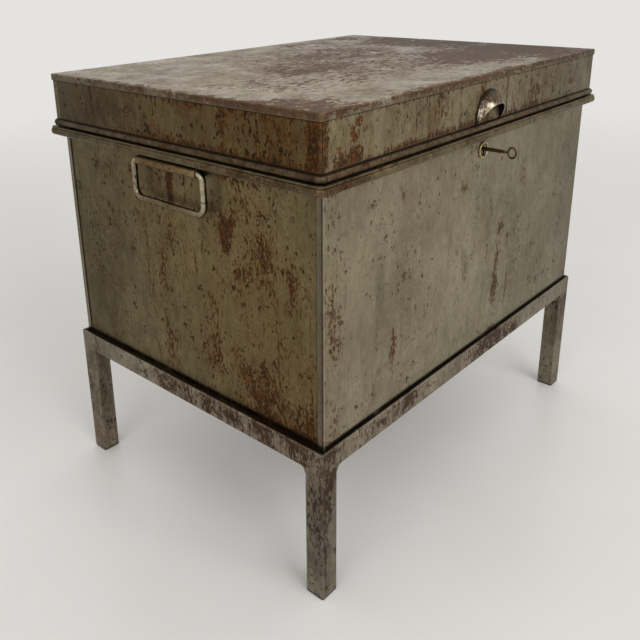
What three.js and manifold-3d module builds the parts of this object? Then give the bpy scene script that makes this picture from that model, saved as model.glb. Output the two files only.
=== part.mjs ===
// Steel trunk on a low welded stand.
// Millimetres, +Z up. The front, with the cup pull and the key, faces -Y, and the lid hinges at the back.
// The origin is on the floor, below the middle of the object's box.

import * as THREE from 'three';
import { mergeVertices } from 'three/addons/utils/BufferGeometryUtils.js';
import Module from 'manifold-3d';

const wasm = await Module();
wasm.setup();

// Driving dimensions: the stand, which is made to fit the trunk
const standHeight = 192;
const standEndGap = 4.5;
const standSideGap = 1.5;
const tubeSize = 25;
const tubeWall = 2;
const railSize = 25;
const railThickness = 3;
const footPad = 3;
const footPlugHeight = 10;
const nearWeldLeg = 7;
const farWeldLeg = 3;
const weldThickness = 4;

// Driving dimensions: sheet and running gaps
const sheet = 1.2;
const gap = 0.3;
const turnClearance = 0.4;
const overrun = 5;

// Driving dimensions: the trunk body
const bodyWidth = 605;
const bodyDepth = 434;
const bodyHeight = 314.2;
const neckHeight = 15.5;
const bendRadius = 2.4;
const bodyLap = 8;
const bottomFlange = 10;

// Driving dimensions: the bead round the body's rim
const rimReachEnds = 16.2;
const neckToBead = 0.6;
const rimBeadHeight = 10.5;
const rimNoseRadius = 4;
const rimCornerRadius = 10;
const beadJoint = 9;
const seamGap = 0.4;
const rimToLid = 1;

// Driving dimensions: the lid
const lidInset = 7;
const lidHeight = 65.5;
const lidBand = 8;
const lidCornerRadius = 2.4;
const lidEdgeRadius = 1.5;
const lidLap = 10;
const lidBeadRadius = 4.25;
const lidBeadProud = 3.5;
const lidBeadCornerRadius = 5;

// Driving dimensions: the hinge
const wireRadius = 2;
const curlSheet = 1.4;
const strapWidth = 30;
const strapSpacing = 380;
const strapLegHeight = 9.2;
const wireEndInset = 12;
const rivetRadius = 1.5;
const rivetHole = 1.9;
const rivetHeadRadius = 2.8;
const rivetHeadHeight = 1.2;
const strapRivetSpacing = 16;
const strapRivetRise = 5.65;

// Driving dimensions: the cup pull on the lid's front
const pullWidth = 64;
const pullTopGap = 10;
const pullMiddleRise = 2.4;
const pullFlange = 3;
const pullFlangeThickness = 1.2;
const pullReach = 20;
const pullWall = 2;
const pullLipDrop = 2.6;
const pullLipSlopeShare = 1.7;

// Driving dimensions: the carrying handles
const bailWidth = 127;
const bailDrop = 49.5;
const bailBelowRim = 7.5;
const bailWire = 3.6;
const bailStandoff = 9.5;
const bailCornerRadius = 12;
const bailShoulderRadius = 8;
const clipEndGap = 0.4;

// Driving dimensions: the escutcheon and the key
const keyBelowRim = 14;
const escutcheonDrop = 1.5;
const escutcheonRadius = 10.25;
const escutcheonThickness = 1.2;
const escutcheonRim = 2.4;
const escutcheonRimWidth = 2;
const shankRadius = 2.25;
const keyholeRadius = 2.75;
const bitWidth = 2.8;
const bitLength = 3.5;
const bitReach = 8.5;
const keyReach = 44.6;
const bowHeight = 15;
const bowWidth = 12.5;
const bowWire = 1.3;
const keySlotClearance = 0.4;

// Driving dimensions: the lock
const lockFlange = 9;
const lockBelowKey = 28;
const lockSheet = 1.5;
const lockCaseWidth = 52;
const lockCaseMargin = 3;
const lockCaseDepth = 15.3;
const boltTipRest = 7;
const boltTailGap = 2.5;
const boltCamGap = 0.6;
const boltHeadroom = 0.5;
const boltHeight = 7;
const boltThickness = 3.5;
const boltFromBack = 4.2;
const guideWidth = 6;
const guideWall = 2;
const camRadius = 5.4;
const postRadius = 2;
const camFromBack = 0.5;

// Driving dimensions: the staple on the lid
const stapleSheet = 3;
const stapleLeft = 10;
const stapleDepth = 8;
const stapleFromBack = 2;
const stapleTipDrop = 4;
const stapleNeckGap = 2;
const stapleArmHeight = 9;
const stapleBase = 2;
const stapleBaseWidth = 30;
const stapleBaseHeight = 28;
const stapleBoltClearance = 0.5;
const stapleRivetSpacing = 14;

// Finishes
const finishes = {
  bodySteel: { color: 0x6f6a58, roughness: 0.45, metalness: 0.75 },
  endSteel: { color: 0x5e5842, roughness: 0.5, metalness: 0.7 },
  topSteel: { color: 0x8a7f74, roughness: 0.35, metalness: 0.8 },
  standSteel: { color: 0x67604f, roughness: 0.5, metalness: 0.7 },
  beadSteel: { color: 0x6a6450, roughness: 0.42, metalness: 0.78 },
  innerSteel: { color: 0x5b564c, roughness: 0.55, metalness: 0.6 },
  brightSteel: { color: 0xa39d8c, roughness: 0.25, metalness: 0.95 },
  brass: { color: 0xa68c52, roughness: 0.3, metalness: 0.95 },
  darkBrass: { color: 0x4c4030, roughness: 0.4, metalness: 0.85 },
  footPlastic: { color: 0x1d1c1a, roughness: 0.7, metalness: 0 },
};

// Sizes that follow from the driving ones
const bodyX = bodyWidth / 2;
const bodyY = bodyDepth / 2;
const innerX = bodyX - sheet;
const innerY = bodyY - sheet;
const standX = bodyX + standEndGap + railThickness;
const standY = bodyY + standSideGap + railThickness;
const railBottom = standHeight - railSize;
const bodyBottom = railBottom + railThickness + gap;
const rimX = bodyX + rimReachEnds;
const lidReachSides = neckToBead + 2 * lidBeadRadius - lidBeadProud;
const rimY = bodyY + lidReachSides + lidInset;
const rimBeadTop = bodyBottom + bodyHeight;
const rimBeadBottom = rimBeadTop - rimBeadHeight;
const neckTop = rimBeadTop + neckHeight;
const lidX = rimX - lidInset;
const lidY = rimY - lidInset;
const totalHeight = rimBeadTop + rimToLid + lidHeight;
const lidWallX = lidX - sheet;
const lidWallY = lidY - sheet;
const lidBeadX = lidX + lidBeadProud - lidBeadRadius;
const lidBeadY = lidY + lidBeadProud - lidBeadRadius;
const lidBeadZ = rimBeadTop + rimToLid + lidBeadRadius;
const lidWallBottom = lidBeadZ + lidBeadRadius + gap;
const lidWallTop = totalHeight - sheet;
const curlBore = wireRadius + turnClearance;
const strapRivetHeight = lidBeadZ + strapRivetRise;
const pullBottom = lidBeadZ + lidBeadRadius + 2 * gap;
const pullTop = totalHeight - lidBand - pullTopGap;
const pullMiddle = pullBottom + pullMiddleRise;
const pullLipHeight = pullBottom - pullLipDrop;
const bailPivotHeight = rimBeadBottom - bailBelowRim;
const bailBottom = bailPivotHeight - bailDrop;
const clipLength = bailWidth - 2 * (bailWire + bailShoulderRadius + clipEndGap);
const clipBore = bailWire + turnClearance;
const keyHeight = rimBeadBottom - keyBelowRim;
const keyTip = bodyY + keyReach;
const escutcheonHeight = keyHeight - escutcheonDrop;
const boltBottom = keyHeight + camRadius + boltCamGap;
const boltTop = boltBottom + boltHeight;
const lockWidth = lockCaseWidth + 2 * lockFlange;
const lockBottom = keyHeight - lockBelowKey;
const lockTop = boltTop + boltHeadroom + lockSheet + lockCaseMargin;
const lockFront = innerY;
const lockBack = lockFront - lockSheet - lockCaseDepth;
const boltTail = boltTailGap + lockSheet - lockCaseWidth / 2;
const camBore = postRadius + turnClearance;
const boltBack = lockBack + lockSheet + boltFromBack;
const stapleTip = boltBottom - stapleTipDrop;
const stapleArmBottom = neckTop + stapleNeckGap;
const stapleBaseTop = stapleArmBottom + stapleBaseHeight;

// Geometry helpers

function toSolid(geometry) {
  const bare = geometry.clone();
  bare.deleteAttribute('normal');
  bare.deleteAttribute('uv');
  const merged = mergeVertices(bare);
  const mesh = new wasm.Mesh({
    numProp: 3,
    vertProperties: Float32Array.from(merged.attributes.position.array),
    triVerts: Uint32Array.from(merged.index.array),
  });
  return new wasm.Manifold(mesh);
}

function toGeometry(solid) {
  const mesh = solid.getMesh();
  const geometry = new THREE.BufferGeometry();
  geometry.setAttribute('position', new THREE.BufferAttribute(mesh.vertProperties, 3));
  geometry.setIndex(new THREE.BufferAttribute(mesh.triVerts, 1));
  geometry.computeVertexNormals();
  return geometry;
}

function block(x0, x1, y0, y1, z0, z1) {
  const geometry = new THREE.BoxGeometry(x1 - x0, y1 - y0, z1 - z0);
  geometry.translate((x0 + x1) / 2, (y0 + y1) / 2, (z0 + z1) / 2);
  return geometry;
}

function blockSolid(...corners) {
  return toSolid(block(...corners));
}

// A straight bar of an outline drawn in X and Y, standing on z0.
function prism(outline, z0, z1, curveSegments = 6) {
  const options = { depth: z1 - z0, bevelEnabled: false, curveSegments };
  const geometry = new THREE.ExtrudeGeometry(outline, options);
  geometry.translate(0, 0, z0);
  return geometry;
}

// A round bar along Y from y0 to y1.
function roundBarY(radius, x, z, y0, y1, sides = 16) {
  const geometry = new THREE.CylinderGeometry(radius, radius, y1 - y0, sides);
  geometry.translate(x, (y0 + y1) / 2, z);
  return geometry;
}

// A round bar along X from x0 to x1.
function roundBarX(radius, y, z, x0, x1, sides = 16) {
  const geometry = new THREE.CylinderGeometry(radius, radius, x1 - x0, sides);
  geometry.rotateZ(-Math.PI / 2);
  geometry.translate((x0 + x1) / 2, y, z);
  return geometry;
}

// The corners of a rounded rectangle, anticlockwise seen from above.
function roundedRing(halfX, halfY, radius, cornerSteps) {
  const ring = [];
  const quarter = Math.PI / 2;
  const centres = [
    [halfX - radius, halfY - radius],
    [radius - halfX, halfY - radius],
    [radius - halfX, radius - halfY],
    [halfX - radius, radius - halfY],
  ];
  centres.forEach(([cx, cy], corner) => {
    for (let step = 0; step <= cornerSteps; step += 1) {
      const angle = quarter * (corner + step / cornerSteps);
      ring.push([cx + radius * Math.cos(angle), cy + radius * Math.sin(angle)]);
    }
  });
  return ring;
}

// A solid pad whose rounded outline is drawn in by each level's inset.
function pad(halfX, halfY, radius, levels, cornerSteps = 5) {
  const positions = [];
  const indices = [];
  const rings = levels.map(({ inset }) => {
    return roundedRing(halfX - inset, halfY - inset, Math.max(radius - inset, gap), cornerSteps);
  });
  const count = rings[0].length;
  rings.forEach((ring, level) => {
    ring.forEach(([x, y]) => positions.push(x, y, levels[level].z));
  });
  for (let level = 0; level + 1 < rings.length; level += 1) {
    for (let i = 0; i < count; i += 1) {
      const next = (i + 1) % count;
      const a = level * count + i;
      const b = level * count + next;
      const c = (level + 1) * count + next;
      const d = (level + 1) * count + i;
      indices.push(a, b, c, a, c, d);
    }
  }
  const lowCentre = positions.length / 3;
  positions.push(0, 0, levels[0].z);
  positions.push(0, 0, levels[levels.length - 1].z);
  const highStart = (rings.length - 1) * count;
  for (let i = 0; i < count; i += 1) {
    const next = (i + 1) % count;
    indices.push(lowCentre, next, i);
    indices.push(lowCentre + 1, highStart + i, highStart + next);
  }
  return meshGeometry(positions, indices);
}

function meshGeometry(positions, indices) {
  const geometry = new THREE.BufferGeometry();
  geometry.setAttribute('position', new THREE.Float32BufferAttribute(positions, 3));
  geometry.setIndex(indices);
  geometry.computeVertexNormals();
  return geometry;
}

// A round wire along a flat path. Each station has a point and its outward direction in the path's plane.
function wire(stations, up, radius, sides, closed) {
  const positions = [];
  const indices = [];
  stations.forEach(({ point, outward }) => {
    for (let i = 0; i < sides; i += 1) {
      const angle = (2 * Math.PI * i) / sides;
      const vertex = point.clone();
      vertex.addScaledVector(outward, radius * Math.cos(angle));
      vertex.addScaledVector(up, radius * Math.sin(angle));
      positions.push(vertex.x, vertex.y, vertex.z);
    }
  });
  const last = closed ? stations.length : stations.length - 1;
  for (let s = 0; s < last; s += 1) {
    const here = s * sides;
    const there = ((s + 1) % stations.length) * sides;
    for (let i = 0; i < sides; i += 1) {
      const next = (i + 1) % sides;
      indices.push(here + i, here + next, there + next, here + i, there + next, there + i);
    }
  }
  if (!closed) {
    const end = (stations.length - 1) * sides;
    for (let i = 1; i + 1 < sides; i += 1) {
      indices.push(0, i + 1, i);
      indices.push(end, end + i, end + i + 1);
    }
  }
  return outwardFaces(meshGeometry(positions, indices));
}

// Turns the faces over where a mesh was wound inside out.
function outwardFaces(geometry) {
  const index = geometry.index.array;
  const p = geometry.attributes.position;
  const a = new THREE.Vector3();
  const b = new THREE.Vector3();
  const c = new THREE.Vector3();
  let volume = 0;
  for (let i = 0; i < index.length; i += 3) {
    a.fromBufferAttribute(p, index[i]);
    b.fromBufferAttribute(p, index[i + 1]);
    c.fromBufferAttribute(p, index[i + 2]);
    volume += a.dot(b.cross(c));
  }
  if (volume < 0) {
    for (let i = 0; i < index.length; i += 3) {
      [index[i + 1], index[i + 2]] = [index[i + 2], index[i + 1]];
    }
    geometry.computeVertexNormals();
  }
  return geometry;
}

// Stations of a rounded rectangle, with a corner radius for each pair of corners, as [across, along].
function ringStations(halfA, lowB, highB, lowRadius, highRadius, steps, place, turn) {
  const corners = [
    [halfA - highRadius, highB - highRadius, highRadius, 0],
    [highRadius - halfA, highB - highRadius, highRadius, 1],
    [lowRadius - halfA, lowB + lowRadius, lowRadius, 2],
    [halfA - lowRadius, lowB + lowRadius, lowRadius, 3],
  ];
  const stations = [];
  corners.forEach(([ca, cb, radius, quarter]) => {
    for (let step = 0; step <= steps; step += 1) {
      const angle = (Math.PI / 2) * (quarter + step / steps);
      const a = Math.cos(angle);
      const b = Math.sin(angle);
      stations.push({ point: place(ca + radius * a, cb + radius * b), outward: turn(a, b) });
    }
  });
  return stations;
}

function joinSolids(solids) {
  return solids.reduce((sum, solid) => sum.add(solid));
}

// A rivet along Y that ends flush with one face and has its head on the other, inside the trunk.
function flushRivet(x, z, flushY, headY) {
  const head = Math.sign(headY - flushY) * rivetHeadHeight;
  const bar = (radius, end) => {
    return toSolid(roundBarY(radius, x, z, Math.min(end, headY + head), Math.max(end, headY + head), 12));
  };
  return bar(rivetRadius, flushY).add(bar(rivetHeadRadius, headY));
}

function rivetBore(x, z, y0, y1) {
  return toSolid(roundBarY(rivetHole, x, z, y0 - overrun, y1 + overrun, 12));
}

// The scene: everything is built about the trunk's own middle, and one group then centres the box.
const trunk = new THREE.Group();
const boxMiddle = new THREE.Group();
boxMiddle.position.set(0, (keyTip - rimY) / 2, 0);
trunk.add(boxMiddle);

function addPart(name, geometry, finish, parent = boxMiddle) {
  const mesh = new THREE.Mesh(geometry, new THREE.MeshStandardMaterial(finishes[finish]));
  mesh.name = name;
  parent.add(mesh);
  return mesh;
}

function addSolid(name, solid, finish, parent = boxMiddle) {
  return addPart(name, toGeometry(solid), finish, parent);
}

// Stand: four tube legs with plastic feet under a mitred frame of angle
const corners = [
  { name: 'front_left', sx: -1, sy: -1 },
  { name: 'front_right', sx: 1, sy: -1 },
  { name: 'back_left', sx: -1, sy: 1 },
  { name: 'back_right', sx: 1, sy: 1 },
];

function squareOutline(size) {
  const outline = new THREE.Shape();
  outline.moveTo(-size / 2, -size / 2);
  outline.lineTo(size / 2, -size / 2);
  outline.lineTo(size / 2, size / 2);
  outline.lineTo(-size / 2, size / 2);
  outline.closePath();
  return outline;
}

// A weld fillet in the corner between the leg and a rail, drawn across the leg and down from its top.
function filletOutline(size, side) {
  const face = tubeSize / 2;
  const root = face - tubeWall / 2;
  const outline = new THREE.Shape();
  outline.moveTo(side * root, railBottom);
  outline.lineTo(side * (face + size), railBottom);
  outline.lineTo(side * face, railBottom - size);
  outline.lineTo(side * root, railBottom - size);
  outline.closePath();
  return outline;
}

// The two fillets lie flush with the leg's outer faces.
function makeLeg(sx, sy, weldLeg) {
  const outline = squareOutline(tubeSize);
  outline.holes.push(squareOutline(tubeSize - 2 * tubeWall));
  const half = tubeSize / 2;
  const tube = toSolid(prism(outline, footPad, railBottom));
  const acrossX = sy < 0 ? [half - weldThickness, half] : [-half, weldThickness - half];
  const acrossY = sx > 0 ? [half - weldThickness, half] : [-half, weldThickness - half];
  const alongX = prism(filletOutline(weldLeg, -sx), ...acrossX);
  alongX.rotateX(Math.PI / 2);
  const alongY = prism(filletOutline(weldLeg, -sy), ...acrossY);
  alongY.rotateX(Math.PI / 2);
  alongY.rotateZ(Math.PI / 2);
  return joinSolids([tube, toSolid(alongX), toSolid(alongY)]);
}

function makeFoot() {
  const plug = tubeSize / 2 - tubeWall - gap;
  const half = tubeSize / 2;
  const base = blockSolid(-half, half, -half, half, 0, footPad);
  return base.add(blockSolid(-plug, plug, -plug, plug, footPad / 2, footPad + footPlugHeight));
}

function makeRail(length) {
  const outline = new THREE.Shape();
  outline.moveTo(0, 0);
  outline.lineTo(railSize, 0);
  outline.lineTo(railSize, railThickness);
  outline.lineTo(railThickness, railThickness);
  outline.lineTo(railThickness, railSize);
  outline.lineTo(0, railSize);
  outline.closePath();
  const geometry = prism(outline, -length / 2, length / 2);
  const p = geometry.attributes.position;
  for (let i = 0; i < p.count; i += 1) {
    const inward = p.getX(i) + gap;
    p.setZ(i, p.getZ(i) - Math.sign(p.getZ(i)) * inward);
  }
  geometry.rotateX(Math.PI / 2);
  geometry.translate(0, 0, railBottom);
  return geometry;
}

function addStand() {
  corners.forEach(({ name, sx, sy }) => {
    const x = sx * (standX - tubeSize / 2);
    const y = sy * (standY - tubeSize / 2);
    const weldLeg = name === 'front_left' ? nearWeldLeg : farWeldLeg;
    addSolid(`stand_leg_${name}`, makeLeg(sx, sy, weldLeg), 'standSteel').position.set(x, y, 0);
    addSolid(`stand_foot_${name}`, makeFoot(), 'footPlastic').position.set(x, y, 0);
  });
  const rails = [
    { name: 'left', length: 2 * standY, turn: 0, x: -standX, y: 0 },
    { name: 'right', length: 2 * standY, turn: Math.PI, x: standX, y: 0 },
    { name: 'front', length: 2 * standX, turn: Math.PI / 2, x: 0, y: -standY },
    { name: 'back', length: 2 * standX, turn: -Math.PI / 2, x: 0, y: standY },
  ];
  rails.forEach(({ name, length, turn, x, y }) => {
    const rail = addPart(`stand_rail_${name}`, makeRail(length), 'standSteel');
    rail.rotation.z = turn;
    rail.position.set(x, y, 0);
  });
}

// Trunk body: front and back sheets wrap the corners and lap over the ends
function lappedPlan(halfX, halfY, lap, radius) {
  const innerRadius = radius - sheet;
  const plan = new THREE.Shape();
  const edge = halfY - lap;
  plan.moveTo(-halfX, -edge);
  plan.absarc(radius - halfX, radius - halfY, radius, Math.PI, 1.5 * Math.PI, false);
  plan.absarc(halfX - radius, radius - halfY, radius, 1.5 * Math.PI, 2 * Math.PI, false);
  plan.lineTo(halfX, -edge);
  plan.lineTo(halfX - sheet, -edge);
  plan.absarc(halfX - radius, radius - halfY, innerRadius, 2 * Math.PI, 1.5 * Math.PI, true);
  plan.absarc(radius - halfX, radius - halfY, innerRadius, 1.5 * Math.PI, Math.PI, true);
  plan.lineTo(sheet - halfX, -edge);
  plan.closePath();
  return plan;
}

function keyholeSolid(y0, y1) {
  const slot = bitWidth / 2 + keySlotClearance;
  const round = toSolid(roundBarY(keyholeRadius, 0, keyHeight, y0, y1, 24));
  const slotBottom = keyHeight - bitReach - keySlotClearance;
  return round.add(blockSolid(-slot, slot, y0, y1, slotBottom, keyHeight));
}

function strapPlaces() {
  return [-strapSpacing / 2, strapSpacing / 2];
}

function strapRivetPlaces() {
  return strapPlaces().flatMap((x) => [x - strapRivetSpacing / 2, x + strapRivetSpacing / 2]);
}

function addBodyPanels() {
  const panel = prism(lappedPlan(bodyX, bodyY, bodyLap, bendRadius), bodyBottom, neckTop, 3);
  const front = toSolid(panel).subtract(keyholeSolid(-bodyY - overrun, overrun - bodyY));
  addSolid('body_front_panel', front, 'bodySteel');
  const turned = panel.clone();
  turned.rotateZ(Math.PI);
  const bores = strapRivetPlaces().map((x) => rivetBore(x, strapRivetHeight, innerY, bodyY));
  addSolid('body_back_panel', toSolid(turned).subtract(joinSolids(bores)), 'bodySteel');
  const endY = bodyY - bendRadius;
  addPart('body_left_end', block(-innerX, sheet - innerX, -endY, endY, bodyBottom, neckTop), 'endSteel');
  addPart('body_right_end', block(innerX - sheet, innerX, -endY, endY, bodyBottom, neckTop), 'endSteel');
  const trayX = innerX - sheet;
  const tray = blockSolid(-trayX, trayX, -innerY, innerY, bodyBottom, bodyBottom + bottomFlange);
  const hollowX = trayX - sheet;
  const hollowY = innerY - sheet;
  const floor = bodyBottom + sheet;
  const hollow = blockSolid(-hollowX, hollowX, -hollowY, hollowY, floor, bodyBottom + bottomFlange + overrun);
  addSolid('body_bottom', tray.subtract(hollow), 'innerSteel');
}

// Levels of a nose that is round at the bottom and at the top.
function noseLevels(z0, z1, radius, steps, inset = 0) {
  const levels = [];
  for (let step = 0; step <= steps; step += 1) {
    const angle = (Math.PI / 2) * (step / steps);
    levels.push({ z: z0 + radius * (1 - Math.cos(angle)), inset: inset + radius * (1 - Math.sin(angle)) });
  }
  const upper = levels.map((level) => ({ z: z0 + z1 - level.z, inset: level.inset })).reverse();
  return levels.concat(upper);
}

// The rim bead is sheet rolled to a round nose, open where it meets the body.
function addRimBead() {
  const outside = pad(rimX, rimY, rimCornerRadius, noseLevels(rimBeadBottom, rimBeadTop, rimNoseRadius, 4));
  const innerNose = rimNoseRadius - sheet;
  const insideLevels = noseLevels(rimBeadBottom + sheet, rimBeadTop - sheet, innerNose, 3, sheet);
  const inside = pad(rimX, rimY, rimCornerRadius, insideLevels);
  const z0 = rimBeadBottom - overrun;
  const z1 = rimBeadTop + overrun;
  const lapEdge = bodyY - bodyLap;
  const core = blockSolid(-innerX, innerX, -bodyY, bodyY, z0, z1)
    .add(blockSolid(-bodyX, bodyX, -bodyY, -lapEdge, z0, z1))
    .add(blockSolid(-bodyX, bodyX, lapEdge, bodyY, z0, z1));
  const ring = toSolid(outside).subtract(toSolid(inside)).subtract(core);
  const jointX = rimX - beadJoint;
  const barFront = blockSolid(-jointX, jointX, -rimY - overrun, -bodyY, z0, z1);
  const barBack = blockSolid(-jointX, jointX, bodyY, rimY + overrun, z0, z1);
  const cutX = jointX + seamGap;
  const bars = blockSolid(-cutX, cutX, -rimY - overrun, -bodyY, z0, z1)
    .add(blockSolid(-cutX, cutX, bodyY, rimY + overrun, z0, z1));
  const ends = ring.subtract(bars);
  addSolid('body_bead_front', ring.intersect(barFront), 'beadSteel');
  addSolid('body_bead_back', ring.intersect(barBack), 'beadSteel');
  const span = rimX + overrun;
  addSolid('body_bead_left', ends.intersect(blockSolid(-span, 0, -span, span, z0, z1)), 'beadSteel');
  addSolid('body_bead_right', ends.intersect(blockSolid(0, span, -span, span, z0, z1)), 'beadSteel');
}

// Hinge: two straps on the back of the neck curl round a wire that runs in the lid's back bead
function makeStrap() {
  const half = strapWidth / 2;
  const curl = toSolid(roundBarX(curlBore + curlSheet, lidBeadY, lidBeadZ, -half, half, 24));
  const bore = toSolid(roundBarX(curlBore, lidBeadY, lidBeadZ, -half - overrun, half + overrun, 24));
  const leg = blockSolid(-half, half, bodyY, bodyY + curlSheet, lidBeadZ, lidBeadZ + strapLegHeight);
  const holes = [-1, 1].map((side) => {
    return rivetBore(side * strapRivetSpacing / 2, strapRivetHeight, bodyY, bodyY + curlSheet);
  });
  const bridgeLow = lidBeadZ - curlSheet / 2;
  const bridge = blockSolid(-half, half, bodyY, lidBeadY - curlBore, bridgeLow, bridgeLow + curlSheet);
  return curl.add(leg).add(bridge).subtract(bore).subtract(joinSolids(holes));
}

function addHinge() {
  strapPlaces().forEach((x, i) => {
    addSolid(`hinge_strap_${i + 1}`, makeStrap(), 'innerSteel').position.x = x;
  });
  strapRivetPlaces().forEach((x, i) => {
    const rivet = flushRivet(x, strapRivetHeight, bodyY + curlSheet, innerY);
    addSolid(`hinge_rivet_${i + 1}`, rivet, 'innerSteel');
  });
  const wireX = lidBeadX - wireEndInset;
  addPart('lid_hinge_wire', roundBarX(wireRadius, lidBeadY, lidBeadZ, -wireX, wireX), 'brightSteel');
}

// Lid: top sheet turned down over four walls, with a bead rolled along their lower edge
function addLidTop() {
  const bandBottom = totalHeight - lidBand;
  const edge = noseLevels(0, 2 * lidEdgeRadius, lidEdgeRadius, 3).slice(4);
  const upper = edge.map(({ z, inset }) => ({ z: z + totalHeight - 2 * lidEdgeRadius, inset }));
  const outside = pad(lidX, lidY, lidCornerRadius, [{ z: bandBottom, inset: 0 }, ...upper], 3);
  const insideLevels = [
    { z: bandBottom - overrun, inset: 0 },
    { z: lidWallTop, inset: 0 },
  ];
  const inside = pad(lidWallX, lidWallY, lidCornerRadius - sheet, insideLevels, 3);
  addSolid('lid_top', toSolid(outside).subtract(toSolid(inside)), 'topSteel');
}

function addLidWalls() {
  const staples = stapleRivetPlaces().map(([x, z]) => rivetBore(x, z, -lidWallY, sheet - lidWallY));
  const frontX = lidWallX - lidCornerRadius - gap;
  const front = blockSolid(-frontX, frontX, -lidWallY, sheet - lidWallY, lidWallBottom, lidWallTop);
  addSolid('lid_front_wall', front.subtract(joinSolids(staples)), 'bodySteel');
  const back = prism(lappedPlan(lidWallX, lidWallY, lidLap, lidCornerRadius), lidWallBottom, lidWallTop, 3);
  back.rotateZ(Math.PI);
  addPart('lid_back_wall', back, 'bodySteel');
  const backEnd = lidWallY - lidLap - seamGap;
  const left = makeLidSide(backEnd);
  addPart('lid_left_wall', left, 'endSteel');
  addPart('lid_right_wall', mirroredX(left), 'endSteel');
}

// A side wall turns round the front corner and ends in the seam with the front wall.
function makeLidSide(backEnd) {
  const radius = lidCornerRadius;
  const inner = radius - sheet;
  const plan = new THREE.Shape();
  plan.moveTo(-lidWallX, backEnd);
  plan.absarc(radius - lidWallX, radius - lidWallY, radius, Math.PI, 1.5 * Math.PI, false);
  plan.lineTo(radius - lidWallX, sheet - lidWallY);
  plan.absarc(radius - lidWallX, radius - lidWallY, inner, 1.5 * Math.PI, Math.PI, true);
  plan.lineTo(sheet - lidWallX, backEnd);
  plan.closePath();
  return prism(plan, lidWallBottom, lidWallTop, 3);
}

function mirroredX(geometry) {
  const mirrored = mergeVertices(geometry.clone().deleteAttribute('normal').deleteAttribute('uv'));
  mirrored.scale(-1, 1, 1);
  return outwardFaces(mirrored);
}

function addLidBead() {
  const joint = lidBeadX + lidBeadRadius - beadJoint;
  const place = (a, b) => new THREE.Vector3(a, b, lidBeadZ);
  const turn = (a, b) => new THREE.Vector3(a, b, 0);
  const up = new THREE.Vector3(0, 0, 1);
  const corner = lidBeadCornerRadius;
  const ring = ringStations(lidBeadX, -lidBeadY, lidBeadY, corner, corner, 5, place, turn);
  const half = ring.length / 2;
  const leftArc = ring.slice(half / 2, half + half / 2);
  const start = { point: place(-joint, lidBeadY), outward: turn(0, 1) };
  const end = { point: place(-joint, -lidBeadY), outward: turn(0, -1) };
  const left = wire([start, ...leftArc, end], up, lidBeadRadius, 16, false);
  addPart('lid_bead_left', left, 'beadSteel');
  addPart('lid_bead_right', mirroredX(left), 'beadSteel');
  const barX = joint - seamGap;
  addPart('lid_bead_front', roundBarX(lidBeadRadius, -lidBeadY, lidBeadZ, -barX, barX), 'beadSteel');
  const strapHalf = strapWidth / 2 + 2 * seamGap;
  const bore = toSolid(roundBarX(curlBore, lidBeadY, lidBeadZ, -barX - overrun, barX + overrun));
  const strapX = strapSpacing / 2;
  const runs = [
    ['lid_bead_back_left', -barX, -strapX - strapHalf],
    ['lid_bead_back_middle', strapHalf - strapX, strapX - strapHalf],
    ['lid_bead_back_right', strapX + strapHalf, barX],
  ];
  runs.forEach(([name, x0, x1]) => {
    const bar = toSolid(roundBarX(lidBeadRadius, lidBeadY, lidBeadZ, x0, x1));
    addSolid(name, bar.subtract(bore), 'beadSteel');
  });
}

// Cup pull: a half shell, open below, with a thin flange round its arch
function ellipsoid(rx, ry, rz) {
  const geometry = new THREE.SphereGeometry(1, 32, 18);
  geometry.scale(rx, ry, rz);
  geometry.translate(0, -lidWallY, pullMiddle);
  return toSolid(geometry);
}

function ellipseDisc(rx, rz, thickness) {
  const geometry = new THREE.CylinderGeometry(1, 1, 1, 40);
  geometry.scale(rx, thickness, rz);
  geometry.translate(0, -lidWallY - thickness / 2, pullMiddle);
  return toSolid(geometry);
}

function addCupPull() {
  const outerX = pullWidth / 2 - pullFlange;
  const outerZ = pullTop - pullFlange - pullMiddle;
  const shell = ellipsoid(outerX, pullReach, outerZ);
  const hollow = ellipsoid(outerX - pullWall, pullReach - pullWall, outerZ - pullWall);
  const rim = ellipseDisc(pullWidth / 2, pullTop - pullMiddle, pullFlangeThickness);
  const front = -lidWallY;
  const far = front - 2 * pullReach;
  const side = pullWidth;
  const outsideWall = blockSolid(-side, side, far, front, pullBottom, pullTop + overrun);
  const lip = new THREE.Shape();
  const run = 2 * pullReach;
  lip.moveTo(0, pullLipHeight);
  lip.lineTo(run, pullLipHeight + pullLipSlopeShare * run);
  lip.lineTo(run, pullLipHeight - run);
  lip.lineTo(0, pullLipHeight - run);
  lip.closePath();
  const below = prism(lip, -side, side);
  below.rotateX(Math.PI / 2);
  below.rotateZ(-Math.PI / 2);
  below.translate(0, front, 0);
  const hood = shell.subtract(toSolid(below));
  addSolid('cup_pull', hood.add(rim).subtract(hollow).intersect(outsideWall), 'brightSteel');
}

// Staple: a plate inside the lid's front with a tongue that drops into the lock
function stapleRivetPlaces() {
  const x = stapleLeft + stapleSheet / 2 - stapleBaseWidth / 2;
  const z = (stapleArmBottom + stapleArmHeight + stapleBaseTop) / 2;
  return [[x, z], [x + stapleRivetSpacing, z]];
}

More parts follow.
